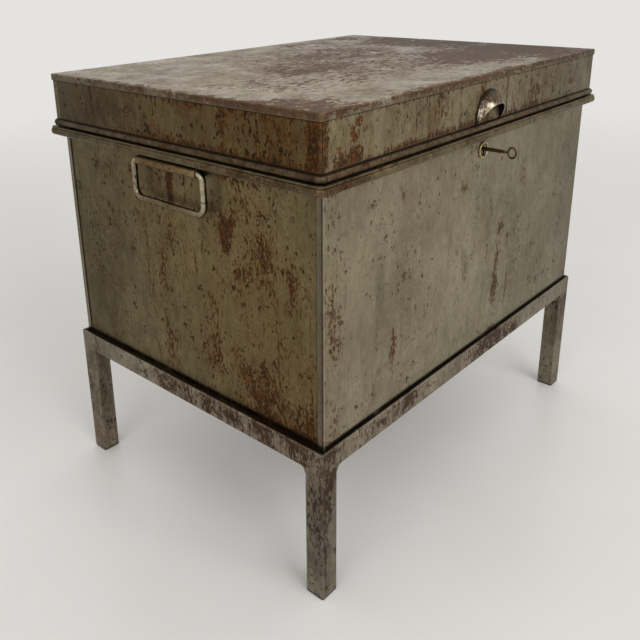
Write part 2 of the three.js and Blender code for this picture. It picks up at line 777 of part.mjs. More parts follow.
function addStaple() {
  const wallInside = lidWallY - sheet;
  const tongueBack = lockBack + lockSheet + stapleFromBack;
  const right = stapleLeft + stapleSheet;
  const tongueFront = tongueBack + stapleDepth;
  const armTop = stapleArmBottom + stapleArmHeight;
  const tongue = blockSolid(stapleLeft, right, -tongueFront, -tongueBack, stapleTip, armTop);
  const arm = blockSolid(stapleLeft, right, -wallInside, -tongueBack, stapleArmBottom, armTop);
  const baseMiddle = stapleLeft + stapleSheet / 2;
  const baseLeft = baseMiddle - stapleBaseWidth + stapleRivetSpacing / 2;
  const base = blockSolid(baseLeft, baseLeft + stapleBaseWidth, -wallInside, stapleBase - wallInside,
    stapleArmBottom, stapleBaseTop);
  const clear = stapleBoltClearance;
  const eye = blockSolid(stapleLeft - overrun, right + overrun, -boltBack - boltThickness - clear,
    clear - boltBack, boltBottom - clear, boltTop + clear);
  const bores = stapleRivetPlaces().map(([x, z]) => rivetBore(x, z, -wallInside, stapleBase - wallInside));
  const staple = tongue.add(arm).add(base).subtract(eye).subtract(joinSolids(bores));
  addSolid('lock_staple', staple, 'innerSteel');
  stapleRivetPlaces().forEach(([x, z], i) => {
    addSolid(`staple_rivet_${i + 1}`, flushRivet(x, z, -lidWallY, stapleBase - wallInside), 'innerSteel');
  });
}

// Handles: a closed wire bail that hangs from its top bar in a folded sheet clip, one at each end
function makeBail() {
  const pivotX = -bodyX - bailStandoff;
  const halfWidth = bailWidth / 2 - bailWire;
  const low = bailBottom + bailWire;
  const place = (a, b) => new THREE.Vector3(pivotX, a, b);
  const turn = (a, b) => new THREE.Vector3(0, a, b);
  const high = bailPivotHeight;
  const stations = ringStations(halfWidth, low, high, bailCornerRadius, bailShoulderRadius, 6, place, turn);
  return wire(stations, new THREE.Vector3(1, 0, 0), bailWire, 12, true);
}

function makeClip() {
  const pivot = bodyX + bailStandoff;
  const outer = clipBore + sheet;
  const plan = new THREE.Shape();
  plan.moveTo(-innerX, bailPivotHeight + outer);
  plan.absarc(-pivot, bailPivotHeight, outer, Math.PI / 2, 1.5 * Math.PI, false);
  plan.lineTo(-innerX, bailPivotHeight - outer);
  plan.lineTo(-innerX, bailPivotHeight - clipBore);
  plan.absarc(-pivot, bailPivotHeight, clipBore, 1.5 * Math.PI, Math.PI / 2, true);
  plan.lineTo(-innerX, bailPivotHeight + clipBore);
  plan.closePath();
  const geometry = prism(plan, -clipLength / 2, clipLength / 2, 10);
  geometry.rotateX(Math.PI / 2);
  return geometry;
}

function addHandles() {
  const bail = makeBail();
  const clip = makeClip();
  addPart('handle_clip_left', clip, 'beadSteel');
  addPart('handle_clip_right', mirroredX(clip), 'beadSteel');
  addPart('handle_bail_left', bail, 'brightSteel');
  addPart('handle_bail_right', mirroredX(bail), 'brightSteel');
}

// Lock: plate and case behind the front, a bolt in its guide, a cam on a post, and the key
function addLock() {
  const halfWidth = lockWidth / 2;
  const plateBack = lockFront - lockSheet;
  const plate = blockSolid(-halfWidth, halfWidth, -lockFront, -plateBack, lockBottom, lockTop);
  const caseX = lockCaseWidth / 2;
  const caseBottom = lockBottom + lockCaseMargin;
  const caseTop = lockTop - lockCaseMargin;
  const flangeBack = plateBack - lockSheet;
  const flange = blockSolid(-halfWidth, halfWidth, -plateBack, -flangeBack, lockBottom, lockTop);
  const shell = blockSolid(-caseX, caseX, -plateBack, -lockBack, caseBottom, caseTop);
  const innerSideX = caseX - lockSheet;
  const innerBottom = caseBottom + lockSheet;
  const innerTop = caseTop - lockSheet;
  const innerBack = lockBack + lockSheet;
  const hollow = blockSolid(-innerSideX, innerSideX, -plateBack - overrun, -innerBack, innerBottom, innerTop);
  const bolt = blockSolid(boltTail, boltTipRest, -boltBack - boltThickness, -boltBack, boltBottom, boltTop);
  const guideRight = boltTail + guideWidth + guideWall;
  const guideFront = boltBack + boltThickness + gap + guideWall;
  const guide = blockSolid(guideRight - guideWidth, guideRight, -guideFront, -lockBack - lockSheet / 2,
    boltBottom - gap - guideWall, innerTop + lockSheet / 2);
  const channel = blockSolid(boltTail - overrun, boltTipRest + overrun, -boltBack - boltThickness - gap,
    gap - boltBack, boltBottom - gap, boltTop + gap);
  const camBack = innerBack + camFromBack;
  const camFront = boltBack + boltThickness + gap;
  const post = toSolid(roundBarY(postRadius, 0, keyHeight, -camFront, -lockBack - lockSheet / 2));
  const right = stapleLeft + stapleSheet;
  const tongueBack = lockBack + lockSheet + stapleFromBack;
  const loose = 3 * gap;
  const slot = blockSolid(stapleLeft - loose, right + loose, -tongueBack - stapleDepth - 2 * loose,
    loose - tongueBack, innerTop - overrun, lockTop + overrun);
  const rivetX = (caseX + halfWidth) / 2;
  const rivetZ = [caseBottom + lockCaseMargin, caseTop - lockCaseMargin];
  const places = rivetZ.flatMap((z) => [[-rivetX, z], [rivetX, z]]);
  const bores = joinSolids(places.map(([x, z]) => rivetBore(x, z, -plateBack, -flangeBack)));
  const keyway = keyholeSolid(-lockFront - overrun, overrun - plateBack);
  addSolid('lock_plate', plate.subtract(keyway).subtract(bores), 'innerSteel');
  const body = flange.add(shell).subtract(hollow).add(guide.subtract(channel)).add(post);
  addSolid('lock_case', body.subtract(slot).subtract(bores), 'innerSteel');
  places.forEach(([x, z], i) => {
    addSolid(`lock_rivet_${i + 1}`, flushRivet(x, z, -plateBack - lockSheet, -flangeBack), 'innerSteel');
  });
  addSolid('lock_bolt', bolt, 'brass');
  const cam = toSolid(roundBarY(camRadius, 0, keyHeight, -camFront, -camBack, 24));
  const bore = toSolid(roundBarY(camBore, 0, keyHeight, -camFront - overrun, overrun - camBack));
  addSolid('lock_cam', cam.subtract(bore), 'brass');
}

function addEscutcheon() {
  const r = escutcheonRadius;
  const inner = r - escutcheonRimWidth;
  const profile = [
    [0, 0],
    [r, 0],
    [r, escutcheonThickness],
    [r - escutcheonRimWidth / 3, escutcheonRim],
    [inner + escutcheonRimWidth / 4, escutcheonRim],
    [inner, escutcheonThickness],
    [0, escutcheonThickness],
  ].map(([x, y]) => new THREE.Vector2(x, y));
  const disc = new THREE.LatheGeometry(profile, 40);
  disc.rotateX(Math.PI);
  disc.translate(0, -bodyY, escutcheonHeight);
  const cut = keyholeSolid(-bodyY - 2 * overrun, overrun - bodyY);
  addSolid('escutcheon', toSolid(disc).subtract(cut), 'brass');
}

function addKey() {
  const camFront = boltBack + boltThickness + gap;
  const shankBack = camFront + gap;
  const bowCentre = keyTip - bowWidth / 2;
  const shankFront = keyTip - bowWidth + bowWire;
  const shank = toSolid(roundBarY(shankRadius, 0, keyHeight, -shankFront, -shankBack));
  const bitBack = -shankBack - gap;
  const bitX = bitWidth / 2;
  const bit = blockSolid(-bitX, bitX, bitBack - bitLength, bitBack, keyHeight - bitReach, keyHeight);
  const stations = [];
  for (let step = 0; step < 24; step += 1) {
    const angle = (2 * Math.PI * step) / 24;
    const c = Math.cos(angle);
    const s = Math.sin(angle);
    const y = -bowCentre + (bowWidth / 2 - bowWire) * c;
    const z = keyHeight + (bowHeight / 2 - bowWire) * s;
    stations.push({ point: new THREE.Vector3(0, y, z), outward: new THREE.Vector3(0, c, s) });
  }
  const bow = toSolid(wire(stations, new THREE.Vector3(1, 0, 0), bowWire, 12, true));
  addSolid('key', joinSolids([shank, bit, bow]), 'darkBrass');
}

addStand();
addBodyPanels();
addRimBead();
addHinge();
addHandles();
addEscutcheon();
addLock();
addKey();
addLidTop();
addLidWalls();
addLidBead();
addCupPull();
addStaple();

export default trunk;
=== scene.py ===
# A steel trunk on its welded stand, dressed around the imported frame.
# Metres, +Z up, the front faces -Y. Sizes come from the frame's boxes or stand beside the piece that uses
# them.

import math
from contextlib import contextmanager
from functools import partial

import bmesh
import bpy
from mathutils import Matrix, Vector, noise


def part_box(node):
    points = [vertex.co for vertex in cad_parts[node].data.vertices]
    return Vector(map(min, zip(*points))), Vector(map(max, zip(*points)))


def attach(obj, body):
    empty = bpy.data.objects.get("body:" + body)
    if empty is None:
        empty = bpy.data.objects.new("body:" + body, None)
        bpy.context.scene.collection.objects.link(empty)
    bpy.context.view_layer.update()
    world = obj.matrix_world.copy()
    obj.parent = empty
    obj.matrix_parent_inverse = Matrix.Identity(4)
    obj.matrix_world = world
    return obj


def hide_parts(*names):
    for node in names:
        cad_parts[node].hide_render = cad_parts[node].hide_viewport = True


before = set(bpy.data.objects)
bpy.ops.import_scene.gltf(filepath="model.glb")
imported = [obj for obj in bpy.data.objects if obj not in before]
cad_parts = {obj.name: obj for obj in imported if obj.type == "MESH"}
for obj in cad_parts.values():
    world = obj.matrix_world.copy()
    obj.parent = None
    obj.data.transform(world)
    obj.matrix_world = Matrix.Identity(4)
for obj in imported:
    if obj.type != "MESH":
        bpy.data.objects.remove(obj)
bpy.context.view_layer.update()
mm = 0.001
print("frame loaded:", len(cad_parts), "nodes")


# Camera first, at the photograph's viewing angle
cameraSettings = {
    "place": (-0.811, -0.626, 0.675),
    "azimuth": -47.28,
    "elevation": 18.85,
    "roll": -1.12,
    "imageSide": 640,
    "focalPixels": 747.1,
    "principalPixel": (287.9, 220.0),
    "sensor": 36.0,
}


def makeCamera(look):
    azimuth, elevation, roll = (math.radians(look[k]) for k in ("azimuth", "elevation", "roll"))
    flat = math.cos(elevation)
    back = Vector((math.sin(azimuth) * flat, -math.cos(azimuth) * flat, math.sin(elevation)))
    right = Vector((0, 0, 1)).cross(back).normalized()
    up = back.cross(right)
    rolledRight = math.cos(roll) * right + math.sin(roll) * up
    rolledUp = math.cos(roll) * up - math.sin(roll) * right
    data = bpy.data.cameras.new("camera")
    data.sensor_width = look["sensor"]
    data.lens = look["focalPixels"] / look["imageSide"] * look["sensor"]
    half = look["imageSide"] / 2
    data.shift_x = (half - look["principalPixel"][0]) / look["imageSide"]
    data.shift_y = (look["principalPixel"][1] - half) / look["imageSide"]
    camera = bpy.data.objects.new("camera", data)
    turn = Matrix((rolledRight, rolledUp, back)).transposed().to_4x4()
    camera.matrix_world = Matrix.Translation(look["place"]) @ turn
    bpy.context.scene.collection.objects.link(camera)
    bpy.context.scene.camera = camera


makeCamera(cameraSettings)


# Sizes read from the frame
def middleOf(node, axis):
    low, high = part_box(node)
    return (low[axis] + high[axis]) / 2


middleY = middleOf("lid_top", 1)  # the middle of the trunk's depth
keyAxis = middleOf("lock_cam", 2)  # the height that the key turns at
sheet = 1.2 * mm  # gauge of every sheet
tiny = 1e-6  # lengths and angles below this count as none
mergeGap = 0.002 * mm  # points closer than this are one


# Numbers
def clamp(value):
    return max(0.0, min(1.0, value))


# Evenly spaced values over a span, with both of its ends.
def spaced(start, span, pieces):
    return [start + span * k / pieces for k in range(pieces + 1)]


def circleTurns(steps):
    return [2 * math.pi * k / steps for k in range(steps)]


# Meshes
def newObject(name, mesh):
    obj = bpy.data.objects.new(name, mesh)
    bpy.context.scene.collection.objects.link(obj)
    return obj


def meshObject(name, points, faces, edges=()):
    mesh = bpy.data.meshes.new(name)
    mesh.from_pydata([tuple(p) for p in points], edges, faces)
    return newObject(name, mesh)


# Opens a mesh for editing and writes it back.
@contextmanager
def openMesh(mesh):
    bm = bmesh.new()
    bm.from_mesh(mesh)
    yield bm
    bm.to_mesh(mesh)
    bm.free()


# A flat path with rounded corners, of one radius or of one for each corner. Each station is a point and its
# outward side, on the right of travel. Straight stretches have a station at the guard's length from each
# end.
def roundedPath(corners, radii, step, arcSteps=6, closed=False, guard=2 * mm):
    points = [Vector(c) for c in corners]
    count = len(points)
    radii = radii if isinstance(radii, list) else [radii] * count
    joints = []
    for i, here in enumerate(points):
        before = (here - points[i - 1]).normalized()
        after = (points[(i + 1) % count] - here).normalized()
        angle = -before.angle_signed(after, 0.0)
        atEnd = not closed and i in (0, count - 1)
        if atEnd or abs(angle) < tiny or radii[i] <= 0:
            joints.append([here])
            continue
        inward = Vector((-before.y, before.x)) * (1 if angle > 0 else -1)
        centre = here - before * (radii[i] * math.tan(abs(angle) / 2)) + inward * radii[i]
        arc = []
        for turn in spaced(0.0, angle, arcSteps):
            c, s = math.cos(turn), math.sin(turn)
            out = Vector((c * inward.x - s * inward.y, s * inward.x + c * inward.y))
            arc.append(centre - radii[i] * out)
        joints.append(arc)
    line = []
    for i, joint in enumerate(joints):
        line.extend(joint)
        if i == count - 1 and not closed:
            break
        a, b = joint[-1], joints[(i + 1) % count][0]
        length = (b - a).length
        if length >= 3 * guard:
            pieces = max(1, round((length - 2 * guard) / step))
            line.extend(a + (b - a) / length * mark for mark in spaced(guard, length - 2 * guard, pieces))
    clean = line[:1]
    for p in line[1:]:
        if (p - clean[-1]).length > tiny:
            clean.append(p)
    if closed and (clean[0] - clean[-1]).length < tiny:
        clean.pop()
    stations = []
    count = len(clean)
    for i, p in enumerate(clean):
        a = clean[i - 1] if i or closed else p
        b = clean[(i + 1) % count] if i + 1 < count or closed else p
        along = ((p - a).normalized() + (b - p).normalized()).normalized()
        stations.append((p, Vector((along.y, -along.x))))
    return stations


def atHeight(path, z):
    return [Vector((p.x, p.y, z)) for p, side in path]


# Rings of the same number of points make one skin; a closed stack joins its last ring to its first.
def ringFaces(ringCount, count, closed=False):
    faces = []
    for r in range(ringCount if closed else ringCount - 1):
        here, there = r * count, (r + 1) % ringCount * count
        for i in range(count):
            j = (i + 1) % count
            faces.append((here + i, here + j, there + j, there + i))
    return faces


def ringStack(name, rings, closed=False):
    count = len(rings[0])
    faces = ringFaces(len(rings), count, closed)
    if not closed:
        last = (len(rings) - 1) * count
        faces.append(tuple(reversed(range(count))))
        faces.append(tuple(last + i for i in range(count)))
    return meshObject(name, [p for ring in rings for p in ring], faces)


# A stack whose rings run out along one face of a sheet and back along the other.
def foldedStack(name, rings):
    count = len(rings[0])
    faces = ringFaces(len(rings), count)
    top = (len(rings) - 1) * count
    for k in range(count // 2 - 1):
        faces.append((k + 1, k, count - 1 - k, count - 2 - k))
        faces.append((top + k, top + k + 1, top + count - 2 - k, top + count - 1 - k))
    return meshObject(name, [p for ring in rings for p in ring], faces)


# A sheet that stands on a flat path, with its faces moved by a dent function.
def sheetPiece(name, path, levels, dent):
    rings = []
    for z in levels:
        moved = [dent(Vector((p.x, p.y, z)), side) for p, side in path]
        outer = [p + side * d for (p, side), d in zip(path, moved)]
        inner = [p + side * (d - sheet) for (p, side), d in zip(path, moved)]
        rings.append([Vector((p.x, p.y, z)) for p in outer + inner[::-1]])
    return foldedStack(name, rings)


# Heights from low to high, with one close to each end so that the ends stay crisp.
def levelsBetween(low, high, step, guard=2 * mm):
    pieces = max(1, round((high - low - 2 * guard) / step))
    return [low, *spaced(low + guard, high - low - 2 * guard, pieces), high]


def roundedRectangle(centre, halfX, halfY, radius, arcSteps, z, inset):
    r = max(radius - inset, 0.05 * mm)
    hx, hy = halfX - inset - r, halfY - inset - r
    ring = []
    for corner, (sx, sy) in enumerate(((1, 1), (-1, 1), (-1, -1), (1, -1))):
        for turn in spaced(math.pi / 2 * corner, math.pi / 2, arcSteps):
            x = centre[0] + sx * hx + r * math.cos(turn)
            y = centre[1] + sy * hy + r * math.sin(turn)
            ring.append(Vector((x, y, z)))
    return ring


# A profile of (radius, along) turned about a line that runs along -Y from the origin point.
def lathe(name, profile, origin, steps):
    rings = []
    for radius, along in profile:
        rings.append([Vector((radius * math.cos(turn), -along, radius * math.sin(turn))) + origin
                      for turn in circleTurns(steps)])
    return ringStack(name, rings)


poleRadius = 0.02 * mm  # the smallest ring of a turned piece


def joinObjects(objects, name):
    mesh = bpy.data.meshes.new(name)
    with openMesh(mesh) as bm:
        for obj in objects:
            bm.from_mesh(obj.data)
            bpy.data.objects.remove(obj)
    return newObject(name, mesh)


# Merges close points and turns the faces outwards.
def closeUp(obj, gap=mergeGap):
    with openMesh(obj.data) as bm:
        bmesh.ops.remove_doubles(bm, verts=bm.verts, dist=gap)
        bmesh.ops.recalc_face_normals(bm, faces=bm.faces)


def applyModifiers(obj):
    bpy.context.view_layer.update()
    evaluated = obj.evaluated_get(bpy.context.evaluated_depsgraph_get())
    mesh = bpy.data.meshes.new_from_object(evaluated)
    obj.modifiers.clear()
    obj.data = mesh


def cutAway(obj, cutter):
    boolean = obj.modifiers.new("cut", "BOOLEAN")
    boolean.operation = "DIFFERENCE"
    boolean.object = cutter
    boolean.solver = "EXACT"
    applyModifiers(obj)
    bpy.data.objects.remove(cutter)


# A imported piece's own shape, merged, with its edges eased.
def easedCopy(name, node, ease, cell=None):
    flatAngle, sharpAngle = math.radians(1), math.radians(35)
    mesh = bpy.data.meshes.new(name)
    with openMesh(mesh) as bm:
        bm.from_mesh(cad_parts[node].data)
        bmesh.ops.remove_doubles(bm, verts=bm.verts, dist=mergeGap)
        bmesh.ops.dissolve_limit(bm, angle_limit=flatAngle, verts=bm.verts, edges=bm.edges)
        sharp = [e for e in bm.edges if len(e.link_faces) == 2 and e.calc_face_angle(0) > sharpAngle]
        bmesh.ops.bevel(bm, geom=sharp, offset=ease, segments=2, profile=0.5, affect="EDGES",
                        clamp_overlap=True)
        if cell:
            sliceIntoCells(bm, cell)
        bmesh.ops.triangulate(bm, faces=[f for f in bm.faces if len(f.verts) > 4])
    return newObject(name, mesh)


# Cuts a mesh by upright and level planes, so that paint and dents have points to work on.
def sliceIntoCells(bm, cell, snap=0.01 * mm):
    for axis in range(3):
        values = [v.co[axis] for v in bm.verts]
        low, high = min(values), max(values)
        cuts = int((high - low) / cell)
        normal = Vector((axis == 0, axis == 1, axis == 2))
        for place in spaced(low, high - low, cuts + 1)[1:-1]:
            geometry = bm.verts[:] + bm.edges[:] + bm.faces[:]
            bmesh.ops.bisect_plane(bm, geom=geometry, plane_co=normal * place, plane_no=normal, dist=snap)


# A field is a value that varies over a surface, and arithmetic on it adds Math nodes.
class Field:
    def __init__(self, tree, socket):
        self.tree = tree
        self.socket = socket

    def math(self, operation, other=0.0, clamped=False):
        node = addNode(self.tree, "ShaderNodeMath", {0: self, 1: other},
                       operation=operation, use_clamp=clamped)
        return Field(self.tree, node.outputs[0])

    def __add__(self, other):
        return self.math("ADD", other)

    def __sub__(self, other):
        return self.math("SUBTRACT", other)

    def __mul__(self, other):
        return self.math("MULTIPLY", other)

    def __abs__(self):
        return self.math("ABSOLUTE")


# Nodes. An input is a value, a socket, a field, or a node, which stands for its first output.
def feed(tree, node, inputs):
    for key, value in inputs.items():
        if isinstance(value, Field):
            value = value.socket
        if isinstance(value, bpy.types.Node):
            value = value.outputs[0]
        if isinstance(value, bpy.types.NodeSocket):
            tree.links.new(value, node.inputs[key])
        else:
            node.inputs[key].default_value = value


def addNode(tree, kind, inputs=None, **settings):
    node = tree.nodes.new(kind)
    for key, value in settings.items():
        setattr(node, key, value)
    feed(tree, node, inputs or {})
    return node


# Geometry Nodes: each tree reads a carrier mesh and named sizes, and coats what it makes with a finish.
def growTree(name, inputs):
    tree = bpy.data.node_groups.new(name, "GeometryNodeTree")
    tree.interface.new_socket("Geometry", in_out="INPUT", socket_type="NodeSocketGeometry")
    tree.interface.new_socket("Geometry", in_out="OUTPUT", socket_type="NodeSocketGeometry")
    for label, kind in {**inputs, "Finish": "Material"}.items():
        tree.interface.new_socket(label, in_out="INPUT", socket_type="NodeSocket" + kind)
    return tree, partial(addNode, tree), tree.nodes.new("NodeGroupInput").outputs


def finishTree(tree, geometry, given):
    real = addNode(tree, "GeometryNodeRealizeInstances", {"Geometry": geometry})
    coated = addNode(tree, "GeometryNodeSetMaterial", {"Geometry": real, "Material": given["Finish"]})
    addNode(tree, "NodeGroupOutput", {"Geometry": coated})
    return tree


# Runs a tree on a carrier mesh and keeps the plain result.
def grow(name, tree, carrier, finish, values):
    values = {**values, "Finish": finishes[finish]}
    modifier = carrier.modifiers.new("shape", "NODES")
    modifier.node_group = tree
    for item in tree.interface.items_tree:
        if item.in_out == "INPUT" and item.name in values:
            modifier[item.identifier] = values[item.name]
    applyModifiers(carrier)
    carrier.name = name
    return carrier


def pathCarrier(points, closed=False, girth=None):
    edges = [(i, i + 1) for i in range(len(points) - 1)]
    if closed:
        edges.append((len(points) - 1, 0))
    carrier = meshObject("path", points, [], edges)
    girths = carrier.data.attributes.new("girth", "FLOAT", "POINT")
    girths.data.foreach_set("value", [girth(Vector(p)) if girth else 1.0 for p in points])
    return carrier


# A round wire or bead along a path, drawn in where its girth is less than 1.
def makeWireTree():
    tree, add, given = growTree("wireAlongPath", {"Wire Radius": "Float", "Sides": "Int"})
    curve = add("GeometryNodeMeshToCurve", {"Mesh": given["Geometry"]})
    girth = add("GeometryNodeInputNamedAttribute", {"Name": "girth"}, data_type="FLOAT")
    thick = add("GeometryNodeSetCurveRadius", {"Curve": curve, "Radius": girth})
    upright = add("GeometryNodeSetCurveNormal", {"Curve": thick})
    section = add("GeometryNodeCurvePrimitiveCircle", {
        "Radius": given["Wire Radius"], "Resolution": given["Sides"]})
    swept = add("GeometryNodeCurveToMesh", {"Curve": upright, "Profile Curve": section, "Fill Caps": True})
    return finishTree(tree, swept, given)


# The rim bead: a section swept along a path, whose inner edge runs back to the trunk's wall.
def makeRimTree():
    tree, add, given = growTree("rimAlongPath", {
        "Section": "Object", "Section Depth": "Float", "Wall": "Vector", "Middle": "Vector"})
    vectorMath = partial(add, "ShaderNodeVectorMath")
    shape = add("GeometryNodeObjectInfo", {"Object": given["Section"]}).outputs["Geometry"]
    section = add("GeometryNodeMeshToCurve", {"Mesh": shape})
    across = add("ShaderNodeSeparateXYZ", {0: add("GeometryNodeInputPosition")})
    edge = add("ShaderNodeMath", {0: given["Section Depth"], 1: -0.98}, operation="MULTIPLY")
    inner = add("ShaderNodeMath", {0: across, 1: edge}, operation="LESS_THAN")
    marked = add("GeometryNodeStoreNamedAttribute", {
        "Geometry": section, "Name": "wallSide", "Value": inner}, data_type="FLOAT", domain="POINT")
    curve = add("GeometryNodeMeshToCurve", {"Mesh": given["Geometry"]})
    upright = add("GeometryNodeSetCurveNormal", {"Curve": curve}, mode="Z_UP")
    swept = add("GeometryNodeCurveToMesh", {"Curve": upright, "Profile Curve": marked, "Fill Caps": True})
    about = vectorMath({0: add("GeometryNodeInputPosition"), 1: given["Middle"]}, operation="SUBTRACT")
    low = vectorMath({0: given["Wall"], "Scale": -1.0}, operation="SCALE")
    capped = vectorMath({0: about, 1: given["Wall"]}, operation="MINIMUM")
    held = vectorMath({0: capped, 1: low}, operation="MAXIMUM")
    back = vectorMath({0: held, 1: given["Middle"]}, operation="ADD")
    flag = add("GeometryNodeInputNamedAttribute", {"Name": "wallSide"}, data_type="FLOAT")
    chosen = add("ShaderNodeMath", {0: flag, 1: 0.5}, operation="GREATER_THAN")
    seated = add("GeometryNodeSetPosition", {"Geometry": swept, "Selection": chosen, "Position": back})
    return finishTree(tree, seated, given)


# Rivets: a domed head and a shank on every point of the carrier.
def makeRivetTree():
    tree, add, given = growTree("rivetOnPoint", {
        "Head Radius": "Float", "Head Height": "Float", "Shank Radius": "Float", "Shank Length": "Float",
        "Head Side": "Float"})
    ball = add("GeometryNodeMeshUVSphere", {"Segments": 20, "Rings": 10, "Radius": 1.0})
    size = add("ShaderNodeCombineXYZ", {
        0: given["Head Radius"], 1: given["Head Height"], 2: given["Head Radius"]})
    head = add("GeometryNodeTransform", {"Geometry": ball, "Scale": size})
    rod = add("GeometryNodeMeshCylinder", {
        "Vertices": 20, "Radius": given["Shank Radius"], "Depth": given["Shank Length"]})
    half = add("ShaderNodeMath", {0: given["Shank Length"], 1: -0.5}, operation="MULTIPLY")
    away = add("ShaderNodeMath", {0: half, 1: given["Head Side"]}, operation="MULTIPLY")
    offset = add("ShaderNodeCombineXYZ", {1: away})
    shank = add("GeometryNodeTransform", {
        "Geometry": rod, "Translation": offset, "Rotation": (math.pi / 2, 0, 0)})
    both = add("GeometryNodeJoinGeometry", {"Geometry": head})
    tree.links.new(shank.outputs[0], both.inputs[0])
    placed = add("GeometryNodeInstanceOnPoints", {"Points": given["Geometry"], "Instance": both})
    return finishTree(tree, placed, given)


wireTree = makeWireTree()
rimTree = makeRimTree()
rivetTree = makeRivetTree()
print("trees built")


def makeWire(name, places, radius, sides, finish, closed=False, girth=None):
    carrier = pathCarrier(places, closed, girth)
    return grow(name, wireTree, carrier, finish, {"Wire Radius": radius, "Sides": sides})


# Where age has gathered, as (place about the trunk's middle, reach in X, Y and Z, strength), all in
# millimetres
rustPlaces = [
    ((-303, -165, 205), (12, 95, 50), 0.7),
    ((-303, -125, 240), (12, 45, 40), 0.56),
    ((-303, 20, 230), (12, 30, 60), 0.4),
    ((-303, -170, 330), (12, 40, 120), 0.34),
    ((-303, -184, 190), (12, 60, 18), 0.95),
    ((-303, -78, 400), (12, 11, 28), 0.98),
    ((-303, -58, 280), (12, 9, 70), 0.66),
    ((-303, -120, 395), (12, 80, 70), 0.42),
    ((-303, -105, 470), (12, 60, 10), 0.6),
    ((-303, 12, 455), (12, 7.5, 9), 1.5),
    ((-303, 12, 440), (12, 6.5, 26), 1.3),
    ((-315, 5, 467), (8, 34, 6), 0.55),
    ((-303, -30, 330), (12, 150, 130), 0.3),
    ((-303, 120, 300), (12, 90, 170), 0.22),
    ((-310, -215, 515), (10, 11, 50), 1.15),
    ((-310, -92, 520), (10, 4, 40), 0.85),
    ((-310, -172, 512), (10, 8, 26), 0.7),
    ((-310, -140, 525), (10, 100, 30), 0.37),
    ((-310, -80, 540), (12, 150, 7), 0.62),
    ((-310, 60, 525), (12, 170, 40), 0.3),
    ((-312, -120, 548), (12, 120, 9), 0.95),
    ((-312, 60, 548), (12, 160, 9), 0.6),
    ((-312, -60, 493), (12, 220, 5), 1.0),
    ((-312, -140, 479), (12, 90, 9), 0.6),
    ((-267, -221, 500), (28, 12, 9), 0.95),
    ((-261, -221, 523), (5, 12, 12), 0.85),
    ((-255, -221, 530), (70, 12, 30), 0.22),
    ((-180, -225, 491), (150, 14, 8), 0.75),
    ((-60, -221, 495), (260, 12, 5), 0.85),
    ((120, -225, 492), (160, 14, 8), 0.7),
    ((0, -221, 525), (330, 12, 40), 0.3),
    ((-280, -225, 480), (40, 14, 10), 0.8),
    ((-41, -217, 419), (8, 12, 10), 0.95),
    ((65, -217, 343), (10, 12, 14), 0.85),
    ((-169, -217, 442), (8, 12, 8), 0.85),
    ((57, -217, 264), (8, 12, 64), 0.8),
    ((54, -217, 190), (26, 12, 10), 0.95),
    ((-180, -217, 263), (8, 12, 28), 0.75),
    ((120, -217, 407), (8, 12, 28), 0.7),
    ((90, -217, 300), (40, 12, 120), 0.36),
    ((-285, -217, 300), (20, 12, 150), 0.42),
    ((0, 0, 551), (230, 150, 8), 0.68),
    ((-170, -60, 551), (140, 120, 8), 0.5),
    ((150, 150, 551), (150, 70, 8), 0.5),
    # These two on the right of the top are rust and also a painted dark reflection
    ((200, -120, 551), (150, 110, 8), 1.1),
    ((260, 60, 551), (90, 160, 8), 0.95),
    ((-290, -190, 551), (60, 60, 8), 0.62),
    ((0, -222, 548), (320, 12, 8), 0.8),
    ((-310, -30, 180), (14, 110, 18), 0.6),
    ((-310, -215, 110), (16, 16, 70), 0.65),
    ((-295, -221, 150), (22, 16, 40), 0.7),
    ((60, -221, 178), (80, 14, 18), 0.7),
    ((-180, -221, 180), (60, 14, 16), 0.6),
    ((297, -221, 120), (22, 16, 60), 0.5),
    ((-297, 221, 100), (22, 30, 60), 0.45),
    ((311, 40, 300), (14, 120, 120), 0.4),
    ((311, -60, 520), (14, 120, 26), 0.45),
    ((60, 217, 260), (160, 14, 90), 0.42),
    ((-160, 222, 520), (110, 14, 24), 0.5),
]
# Mostly painted shade and shadow, in the same form: the right of the front and of the lid front, the lap at
# the near corner, the back of the left end, the lid's left end and the beads below it, the top, where on its
# right it stands for a dark reflection, the near leg and the handle's low bar; the entries on the top's band
# edges darken it, and one entry is a dark smudge on the front
shadePlaces = [
    ((260, -217, 330), (230, 12, 260), 0.5),
    ((300, -217, 330), (80, 12, 260), 0.8),
    ((60, -222, 520), (300, 12, 40), 0.3),
    ((240, -222, 520), (200, 12, 44), 0.85),
    ((-206, -217, 342), (8, 12, 40), 0.6),
    ((-303, -212, 330), (3, 6, 300), 1.1),
    ((-303, 190, 330), (12, 110, 240), 0.75),
    ((-311, 30, 520), (12, 260, 42), 0.3),
    ((-311, 180, 520), (12, 120, 42), 1.1),
    ((-314, 190, 485), (16, 110, 14), 0.9),
    ((-314, 0, 485), (16, 260, 14), 0.4),
    ((290, -40, 551), (110, 230, 8), 1.2),
    ((130, 0, 551), (200, 300, 8), 0.45),
    ((-200, 120, 551), (160, 140, 8), 0.15),
    ((-310, -221, 90), (30, 30, 90), 0.85),
    ((-312, 0, 420), (8, 52, 7), 0.5),
    ((-312, 0, 546), (3, 240, 4), 0.7),
    ((0, -223, 546), (330, 3, 4), 0.45),
]
warmPlaces = [
    ((-303, -110, 300), (12, 110, 150), 0.5),
    ((-303, 40, 420), (12, 80, 60), 0.35),
    ((-311, -120, 520), (12, 120, 40), 0.6),
    ((-60, 20, 551), (170, 150, 8), 0.5),
    ((0, -232, 528), (18, 12, 9), 0.7),
    ((-315, 0, 420), (8, 70, 6), 1.6),
    ((-303, -212, 330), (3, 6, 300), 0.9),
    ((-180, -217, 360), (110, 12, 130), 0.25),
]
# A place marks all within its reach, and fades out past it
placeEdge = 1.4
placeFade = 0.9
fullWearAngle = 1.1
paintedMarks = ("wear", "rustAge", "shade", "warmth", "grimeAndShade")


